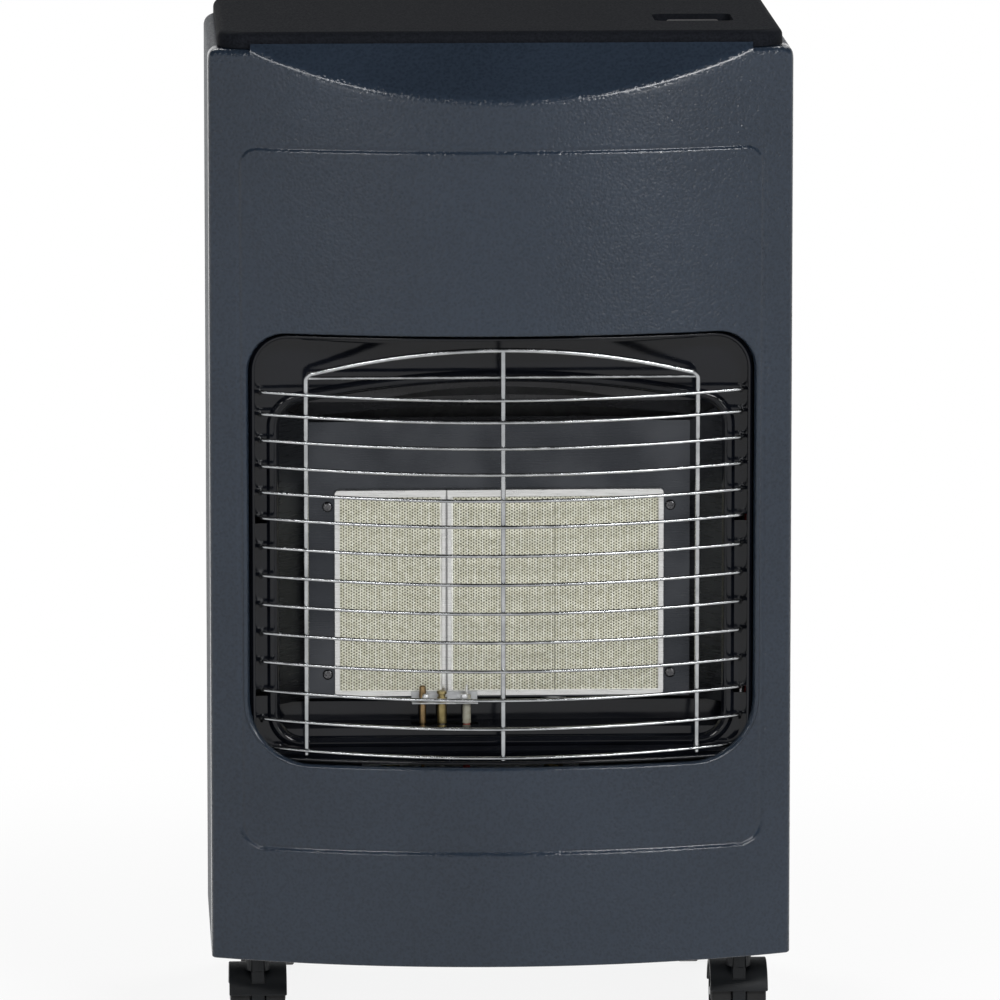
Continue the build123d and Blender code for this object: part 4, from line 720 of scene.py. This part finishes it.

# ---- Reflector and hood -------------------------------------------------------------------------
# The reflector is steel sheet, folded into a box with sloped wings round the burner. The hood above
# it is steel that the heat has darkened, with two crescent slots that let the hot air out.

# The steel's colour is set far darker than bare steel. This is a painted dark reflection of the
# dark firebox round it.
reflector_steel = Finish("reflector_steel", Metallic=1.0)
brushed = reflector_steel.noise(1, 3, reflector_steel.stretched(40, 40, 900))
blotch = reflector_steel.noise(14, 3)
reflector_steel.tint(blotch.ramp(0.35, 0.7), (0.040, 0.043, 0.049), (0.066, 0.070, 0.078))
reflector_steel.feed("Roughness", (brushed * 0.5 + blotch * 0.5).ramp(0.3, 0.7, 0.22, 0.36))
reflector_steel.bump(brushed, 0.1 * mm, 0.2)
softened("reflector", "cabinet", reflector_steel, 0.3 * mm)
hood_steel = Finish("heat_darkened_steel", Specular_IOR_Level=0.3)
hood_stain = hood_steel.noise(18, 3).ramp(0.35, 0.7)
hood_steel.tint(hood_stain, (0.006, 0.006, 0.007), (0.012, 0.012, 0.0135))
hood_steel.feed("Roughness", hood_steel.noise(60, 3).ramp(0.3, 0.7, 0.2, 0.3))
softened("upper_deflector", "cabinet", hood_steel, 0.3 * mm)

# ---- Burner -------------------------------------------------------------------------------------
# Three perforated ceramic plaques in a bright stainless frame, on two pressed gas boxes with mixer
# tubes. The frame is held by four screws, and the plaques are pierced by thousands of fine holes.

stainless = Finish("stainless", Metallic=1.0)
stainless_lines = stainless.noise(1, 3, stainless.stretched(60, 60, 1400))
strip_middle = (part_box("plaque_left")[1][0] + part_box("plaque_middle")[0][0]) / 2
strip_x = stainless.part_of(stainless.place())[0]
# A narrow grey band on the frame's strip between the left and middle plaques is painted shade. It
# keeps the strip from showing as a bright line.
strip_painted_shade = (strip_x - strip_middle).absolute().ramp(0.35 * mm, 0.75 * mm, 1.0, 0.0)
steel_shades = ((0.62, 0.62, 0.61), (0.74, 0.74, 0.73))
brushed_steel = stainless.mixed(stainless_lines.ramp(0.3, 0.7), *steel_shades)
stainless.tint(strip_painted_shade, brushed_steel, (0.2, 0.2, 0.2))
stainless.feed("Roughness", stainless_lines.ramp(0.3, 0.7, 0.26, 0.38))
softened("burner_frame", "cabinet", stainless, 0.3 * mm)
for node in ("burner_box_single", "burner_box_double"):
    softened(node, "cabinet", galvanised)

hole_pitch = 3.7 * mm
row_pitch = 1.1 * mm
hole_radius = 0.66 * mm
lane_pitch = 1.5 * hole_pitch
blank_edge = 1.4 * mm
for node, left_edge, right_edge in (
    ("plaque_left", 1.0 * mm, 2.3 * mm),
    ("plaque_middle", 2.3 * mm, 0.0),
    ("plaque_right", 0.0, 1.0 * mm),
):
    low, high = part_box(node)
    ceramic = Finish(f"ceramic_{node}", Roughness=0.9, Specular_IOR_Level=0.2)
    across, _, above = ceramic.part_of(ceramic.place())
    inside_x = (across - (low[0] + left_edge)).least((high[0] - right_edge) - across)
    inside_z = (above - (low[2] + blank_edge)).least((high[2] - blank_edge) - above)
    pierced = inside_x.least(inside_z).ramp(-0.2 * mm, 0.2 * mm)
    near_x = across.wrapped(hole_pitch)
    near_z = above.wrapped(2 * row_pitch)
    next_x = (across + hole_pitch / 2).wrapped(hole_pitch)
    next_z = (above + row_pitch).wrapped(2 * row_pitch)
    hole_square = (near_x * near_x + near_z * near_z).least(next_x * next_x + next_z * next_z)
    hole = hole_square.root().ramp(hole_radius * 0.6, hole_radius * 1.15, 1.0, 0.0) * pierced
    lane = (across + hole_pitch / 4).wrapped(lane_pitch).absolute().ramp(0.25 * mm, 0.75 * mm)
    clay = ceramic.mixed(pierced * (0.6 + lane * 0.4), (0.84, 0.84, 0.79), (0.64, 0.635, 0.525))
    wear = ceramic.noise(260, 3).ramp(0.35, 0.65) * pierced * 0.4
    worn = ceramic.mixed(wear, clay, (0.36, 0.34, 0.23))
    # The holes are painted nearly black. This is painted shade, for the shade deep inside them, and
    # the bump below dents them.
    ceramic.tint(hole * (1 - 0.3 * ceramic.noise(190, 2)), worn, (0.04, 0.04, 0.025))
    ceramic.bump(1 - hole, 0.8 * mm, 0.6)
    softened(node, "cabinet", ceramic, 0.12 * mm)


def joined(name, pieces):
    """Several pieces made one."""
    bpy.ops.object.select_all(action="DESELECT")
    for piece in pieces:
        piece.select_set(True)
    bpy.context.view_layer.objects.active = pieces[0]
    bpy.ops.object.join()
    pieces[0].name = name
    return pieces[0]


def pan_screw(seat, head_radius, head_height, shank_radius, shank_length):
    """A pan-head screw with a cross recess, its head on the seat and facing the front."""
    bpy.ops.object.select_all(action="DESELECT")
    bpy.ops.mesh.primitive_cylinder_add(vertices=32, radius=head_radius, depth=head_height)
    head = bpy.context.object
    bpy.ops.object.mode_set(mode="EDIT")
    bpy.ops.mesh.select_all(action="SELECT")
    bpy.ops.transform.translate(value=(0, 0, head_height / 2))
    bpy.ops.object.mode_set(mode="OBJECT")
    for edge in head.data.edges:
        ends = [head.data.vertices[index] for index in edge.vertices]
        edge.select = all(end.co.z > head_height * 0.9 for end in ends)
    bpy.ops.object.mode_set(mode="EDIT")
    bpy.ops.mesh.bevel(offset=head_height * 0.6, segments=4)
    bpy.ops.object.mode_set(mode="OBJECT")
    bpy.ops.object.select_all(action="DESELECT")
    bpy.ops.mesh.primitive_cube_add(size=1, location=(0, 0, head_height))
    recess = bpy.context.object
    recess.scale = (head_radius * 1.15, head_radius * 0.26, head_height * 0.9)
    bpy.ops.object.duplicate()
    other = bpy.context.object
    other.rotation_euler = (0, 0, pi / 2)
    cut(head, recess)
    cut(head, other)
    bpy.ops.object.select_all(action="DESELECT")
    bpy.ops.mesh.primitive_cylinder_add(vertices=24, radius=shank_radius, depth=shank_length)
    shank = bpy.context.object
    shank.location = (0, 0, -shank_length / 2)
    screw = joined("screw", [head, shank])
    screw.rotation_euler = (pi / 2, 0, 0)
    screw.location = seat
    pick(screw)
    bpy.ops.object.transform_apply(location=True, rotation=True, scale=True)
    smooth(screw, 40)
    return screw


frame_low, frame_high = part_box("burner_frame")
reflector_sheet = 0.8 * mm
screw_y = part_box("reflector")[1][1] - reflector_sheet
screw_beside = 5 * mm
screw_above_foot = 15.5 * mm
screw_below_top = 12.6 * mm
screw_xs = (frame_low[0] - screw_beside, frame_high[0] + screw_beside)
screw_zs = (frame_low[2] + screw_above_foot, frame_high[2] - screw_below_top)
burner_screw = {
    "head_radius": 3.6 * mm,
    "head_height": 2.2 * mm,
    "shank_radius": 1.6 * mm,
    "shank_length": 4 * mm,
}
heads = [pan_screw((x, screw_y, z), **burner_screw) for x in screw_xs for z in screw_zs]
burner_heads = joined("burner_screws_finished", heads)
stand_for(burner_heads, "cabinet", "burner_screws")
dark_zinc = Finish("dark_zinc", Metallic=1.0)
dark_zinc.tint(dark_zinc.noise(300).ramp(0.3, 0.7), (0.08, 0.08, 0.085), (0.13, 0.13, 0.135))
dark_zinc.feed("Roughness", dark_zinc.noise(500).ramp(0.3, 0.7, 0.22, 0.36))
dark_zinc.cover(burner_heads)

# ---- Wire guard ---------------------------------------------------------------------------------
# Fourteen bowed wires welded to an arched frame wire and a middle post, all chromed. The wires rise
# a little to their ends and turn back to the surround there. Two of them hook through its slots.

row_y = -0.17425
row_wire = 1.25 * mm
row_lift = 3 * mm
post_wire = 1.8 * mm
guard_half = 0.170
lowest_half = 0.163
lowest_bow = 34 * mm
bow_lost = 6 * mm
bend = 5 * mm
hook_reach = 5 * mm
touch = 0.05 * mm
weld_depth = 0.35 * mm
post_half = 0.141
arch_corner = 6 * mm
chord_height = 0.4865
arch_foot = 0.4885
arch_height = 0.5086


def row_circle(z):
    """Radius of a row's bow, which grows flatter towards the top."""
    share = (z - guard_rows[0]) / (guard_rows[-1] - guard_rows[0])
    depth = lowest_bow - bow_lost * share
    return (guard_half**2 + depth**2) / (2 * depth)


def row_depth(x, z):
    """Depth of a row's bow at width x."""
    radius = row_circle(z)
    return row_y + radius - sqrt(radius**2 - x**2)


def wire(name, points, radius, bends=4):
    """A round wire along points, turned into a mesh."""
    bpy.ops.object.select_all(action="DESELECT")
    bpy.ops.curve.primitive_nurbs_path_add()
    curve = bpy.context.object
    curve.name = name
    curve.data.splines.clear()
    line = curve.data.splines.new("POLY")
    line.points.add(len(points) - 1)
    for point, place in zip(line.points, points):
        point.co = (*place, 1)
    curve.data.bevel_depth = radius
    curve.data.bevel_resolution = bends
    curve.data.use_fill_caps = True
    curve.data.dimensions = "3D"
    bpy.ops.object.convert(target="MESH")
    return bpy.context.object


def both_sides(right):
    """The points of a right half, after those of its mirror image."""
    return [(-x, y, z) for x, y, z in right[:0:-1]] + right


wires = []
for row, z in enumerate(guard_rows):
    half = lowest_half if row == 0 else guard_half
    end_y = flange_y + (hook_reach if row in hook_rows else -touch)
    radius = row_circle(z)
    edge = asin(half / radius)
    right = []
    for turn in spread(0, edge, 0.02):
        across = radius * sin(turn)
        rise = row_lift * (across / half) ** 2
        right.append((across, row_y + radius * (1 - cos(turn)), z + rise))
    centre_x = right[-1][0] - bend * sin(edge)
    centre_y = right[-1][1] + bend * cos(edge)
    for turn in spread(edge, pi / 2, 0.16)[1:]:
        right.append((centre_x + bend * sin(turn), centre_y - bend * cos(turn), z + row_lift))
    right.append((centre_x + bend, end_y, z))
    wires.append(wire("guard_row", both_sides(right), row_wire))

behind_rows = row_wire + post_wire - weld_depth


def post_point(x, z):
    """A point of the frame wire, welded behind the rows."""
    return (x, row_depth(x, z) + behind_rows, z)


arch_rise = arch_height - arch_foot
arch_radius = (post_half**2 + arch_rise**2) / (2 * arch_rise)
shoulder_x = post_half - arch_corner
half_arch = []
for x in spread(0, shoulder_x, 4 * mm):
    half_arch.append(post_point(x, arch_height - arch_radius + sqrt(arch_radius**2 - x**2)))
shoulder_z = half_arch[-1][2]
for turn in spread(0, pi / 2, pi / 16)[1:]:
    dropped = arch_corner * (1 - cos(turn))
    half_arch.append(post_point(shoulder_x + arch_corner * sin(turn), shoulder_z - dropped))
for z in spread(half_arch[-1][2], guard_rows[0] - 1 * mm, 6 * mm)[1:]:
    half_arch.append(post_point(post_half, z))
wires.append(wire("guard_arch", both_sides(half_arch), post_wire, 5))
middle_y = row_y + behind_rows
middle_post = [(0, middle_y, guard_rows[0] - 2 * mm), (0, middle_y, arch_height)]
wires.append(wire("guard_post", middle_post, post_wire, 5))
chord_y = row_depth(post_half, chord_height) + behind_rows
chord = [(x, chord_y, chord_height) for x in (-post_half + post_wire, 0, post_half - post_wire)]
wires.append(wire("guard_chord", chord, row_wire))
guard = joined("guard", wires)
smooth(guard, 50)
stand_for(guard, "cabinet", "wire_guard")

chrome = Finish("guard_chrome", Metallic=1.0)
chrome_film = chrome.noise(90, 3)
chrome.tint(chrome_film.ramp(0.3, 0.7), (0.34, 0.35, 0.36), (0.46, 0.47, 0.48))
chrome.feed("Roughness", chrome_film.ramp(0.3, 0.7, 0.16, 0.28))
chrome.cover(guard)

# ---- Pilot --------------------------------------------------------------------------------------
# A bracket riveted under the burner carries the brass pilot burner, the thermocouple and the spark
# electrode in its ceramic sleeve. They light the burner and keep the valve open.

bracket_low, bracket_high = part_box("pilot_bracket")
shelf_top = bracket_low[2] + 2 * mm
flange_share = 0.5
rivet_side = 14 * mm
rivet_radius = 2.6 * mm
rivet_flatness = 0.5
rivet_y = bracket_low[1] + 0.2 * mm
rivet_z = bracket_low[2] + 5.3 * mm
pilot_bracket = softened("pilot_bracket", "cabinet", galvanised)
for vertex in pilot_bracket.data.vertices:
    if vertex.co.z > shelf_top:
        vertex.co.z = shelf_top + (vertex.co.z - shelf_top) * flange_share
bracket_middle = (bracket_low[0] + bracket_high[0]) / 2
riveted = [pilot_bracket]
for x in (bracket_middle - rivet_side, bracket_middle + rivet_side):
    bpy.ops.object.select_all(action="DESELECT")
    bpy.ops.mesh.primitive_uv_sphere_add(segments=20, ring_count=10, radius=rivet_radius)
    rivet = bpy.context.object
    rivet.scale = (1, rivet_flatness, 1)
    rivet.location = (x, rivet_y, rivet_z)
    bpy.ops.object.transform_apply(location=True, rotation=True, scale=True)
    smooth(rivet, 60)
    galvanised.cover(rivet)
    riveted.append(rivet)
joined("pilot_bracket_finished", riveted)

# The brass is darker than brass's own colour. This is partly heat tarnish and partly painted shade,
# for the shade under the burner where the pilot sits.
brass = Finish("brass", Metallic=1.0)
brass.tint(brass.noise(220, 3).ramp(0.3, 0.7), (0.24, 0.19, 0.085), (0.38, 0.31, 0.15))
brass.feed("Roughness", brass.noise(420).ramp(0.3, 0.7, 0.28, 0.42))
for node in ("pilot_burner", "injectors", "hose_nozzle"):
    softened(node, "cabinet", brass, 0.3 * mm)

# The copper is darker than copper's own colour. This is partly heat tarnish and partly painted
# shade, for the shade under the burner.
copper = Finish("copper_brass", Metallic=1.0)
copper.tint(copper.noise(260, 3).ramp(0.3, 0.7), (0.20, 0.14, 0.07), (0.31, 0.21, 0.11))
copper.feed("Roughness", copper.noise(420).ramp(0.3, 0.7, 0.30, 0.42))
for node in ("thermocouple", "thermocouple_lead"):
    softened(node, "cabinet", copper, 0.15 * mm)

# The sleeve's ceramic is darkened. This is painted shade, for the shade under the burner.
sleeve = Finish("insulator_ceramic", Specular_IOR_Level=0.5)
sleeve.tint(sleeve.noise(90).ramp(0.3, 0.7), (0.22, 0.21, 0.16), (0.34, 0.33, 0.27))
sleeve.feed("Roughness", sleeve.noise(200).ramp(0.3, 0.7, 0.2, 0.35))
softened("electrode_insulator", "cabinet", sleeve, 0.3 * mm)
softened("electrode_rod", "cabinet", stainless, 0.15 * mm)

# ---- Gas parts ----------------------------------------------------------------------------------
# A die-cast valve hangs under the lid on a bracket beside the piezo igniter. Bent tubes and a lead
# run down beside the firebox to the injectors and the pilot.

valve_alloy = Finish("valve_alloy", Metallic=1.0)
valve_alloy.tint(valve_alloy.noise(160, 3).ramp(0.3, 0.7), (0.40, 0.40, 0.41), (0.52, 0.52, 0.53))
valve_alloy.feed("Roughness", valve_alloy.noise(700).ramp(0.3, 0.7, 0.42, 0.58))
valve_alloy.bump(valve_alloy.noise(700), 0.15 * mm, 0.4)
softened("gas_valve", "cabinet", valve_alloy, 0.6 * mm)

valve_steel = Finish("valve_steel", Metallic=1.0)
valve_steel.tint(valve_steel.noise(200).ramp(0.3, 0.7), (0.45, 0.45, 0.45), (0.58, 0.58, 0.58))
valve_steel.feed("Roughness", valve_steel.noise(600).ramp(0.3, 0.7, 0.26, 0.4))
softened("valve_spindle", "knob", valve_steel, 0.2 * mm)

tube_metal = Finish("tube_aluminium", Metallic=1.0)
tube_metal.tint(tube_metal.noise(120, 3).ramp(0.3, 0.7), (0.58, 0.58, 0.59), (0.70, 0.70, 0.71))
tube_metal.feed("Roughness", tube_metal.noise(300).ramp(0.3, 0.7, 0.30, 0.44))
for node in ("gas_tube_single", "gas_tube_double", "pilot_tube"):
    softened(node, "cabinet", tube_metal, 0)

lead_rubber = Finish("lead_rubber", Specular_IOR_Level=0.35)
lead_rubber.tint(lead_rubber.noise(150).ramp(0.3, 0.7), (0.20, 0.020, 0.014), (0.27, 0.030, 0.020))
lead_rubber.feed("Roughness", lead_rubber.noise(400).ramp(0.3, 0.7, 0.5, 0.65))
softened("ignition_lead", "cabinet", lead_rubber, 0)

# ---- Control knob and igniter -------------------------------------------------------------------
# A moulded black knob with a grip bar sits in the lid's well. It is pushed down, with the collar on
# its spindle, against a steel spring, and turned to set the heat. The piezo igniter is of the same
# plastic.

knob_plastic = Finish("black_plastic", Specular_IOR_Level=0.2)
knob_grain = knob_plastic.noise(900, 2)
knob_drift = knob_plastic.noise(40).ramp(0.3, 0.7)
knob_plastic.tint(knob_drift, (0.012, 0.012, 0.013), (0.018, 0.018, 0.019))
knob_plastic.feed("Roughness", knob_grain.ramp(0.3, 0.7, 0.34, 0.46))
knob_plastic.bump(knob_grain, 0.08 * mm, 0.4)
softened("control_knob", "knob", knob_plastic, 0.8 * mm)
softened("piezo_igniter", "cabinet", knob_plastic)

softened("spindle_collar", "knob_stem", zinc, 0.2 * mm)
knob_spring = softened("knob_spring", "cabinet", stainless, 0)
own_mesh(knob_spring)

# ---- Casters ------------------------------------------------------------------------------------
# Four twin-wheel casters of black moulded plastic on galvanised plates under the base. Each swivels
# on its pin, and its two wheels roll on one steel axle.

caster_plastic = Finish("caster_plastic", Specular_IOR_Level=0.25)
caster_grain = caster_plastic.noise(700, 2)
caster_drift = caster_plastic.noise(30).ramp(0.3, 0.7)
caster_plastic.tint(caster_drift, (0.005, 0.0062, 0.0078), (0.007, 0.0085, 0.0105))
caster_plastic.feed("Roughness", caster_grain.ramp(0.3, 0.7, 0.36, 0.5))
caster_plastic.bump(caster_grain, 0.08 * mm, 0.4)
wheel_plastic = Finish("wheel_plastic", Specular_IOR_Level=0.3)
wheel_drift = wheel_plastic.noise(60).ramp(0.3, 0.7)
wheel_plastic.tint(wheel_drift, (0.008, 0.008, 0.0085), (0.012, 0.012, 0.0125))
wheel_plastic.feed("Roughness", wheel_plastic.noise(500).ramp(0.3, 0.7, 0.5, 0.66))
for place in ("front_left", "front_right", "rear_left", "rear_right"):
    caster = f"caster_{place}"
    softened(f"{caster}_hood", caster, caster_plastic, 0.8 * mm)
    softened(f"{caster}_axle", caster, valve_steel, 0.3 * mm)
    for side in ("outer", "inner"):
        wheel = f"wheel_{place}_{side}"
        softened(f"{caster}_wheel_{side}", wheel, wheel_plastic, 0.8 * mm)
softened("caster_plates", "cabinet", galvanised)
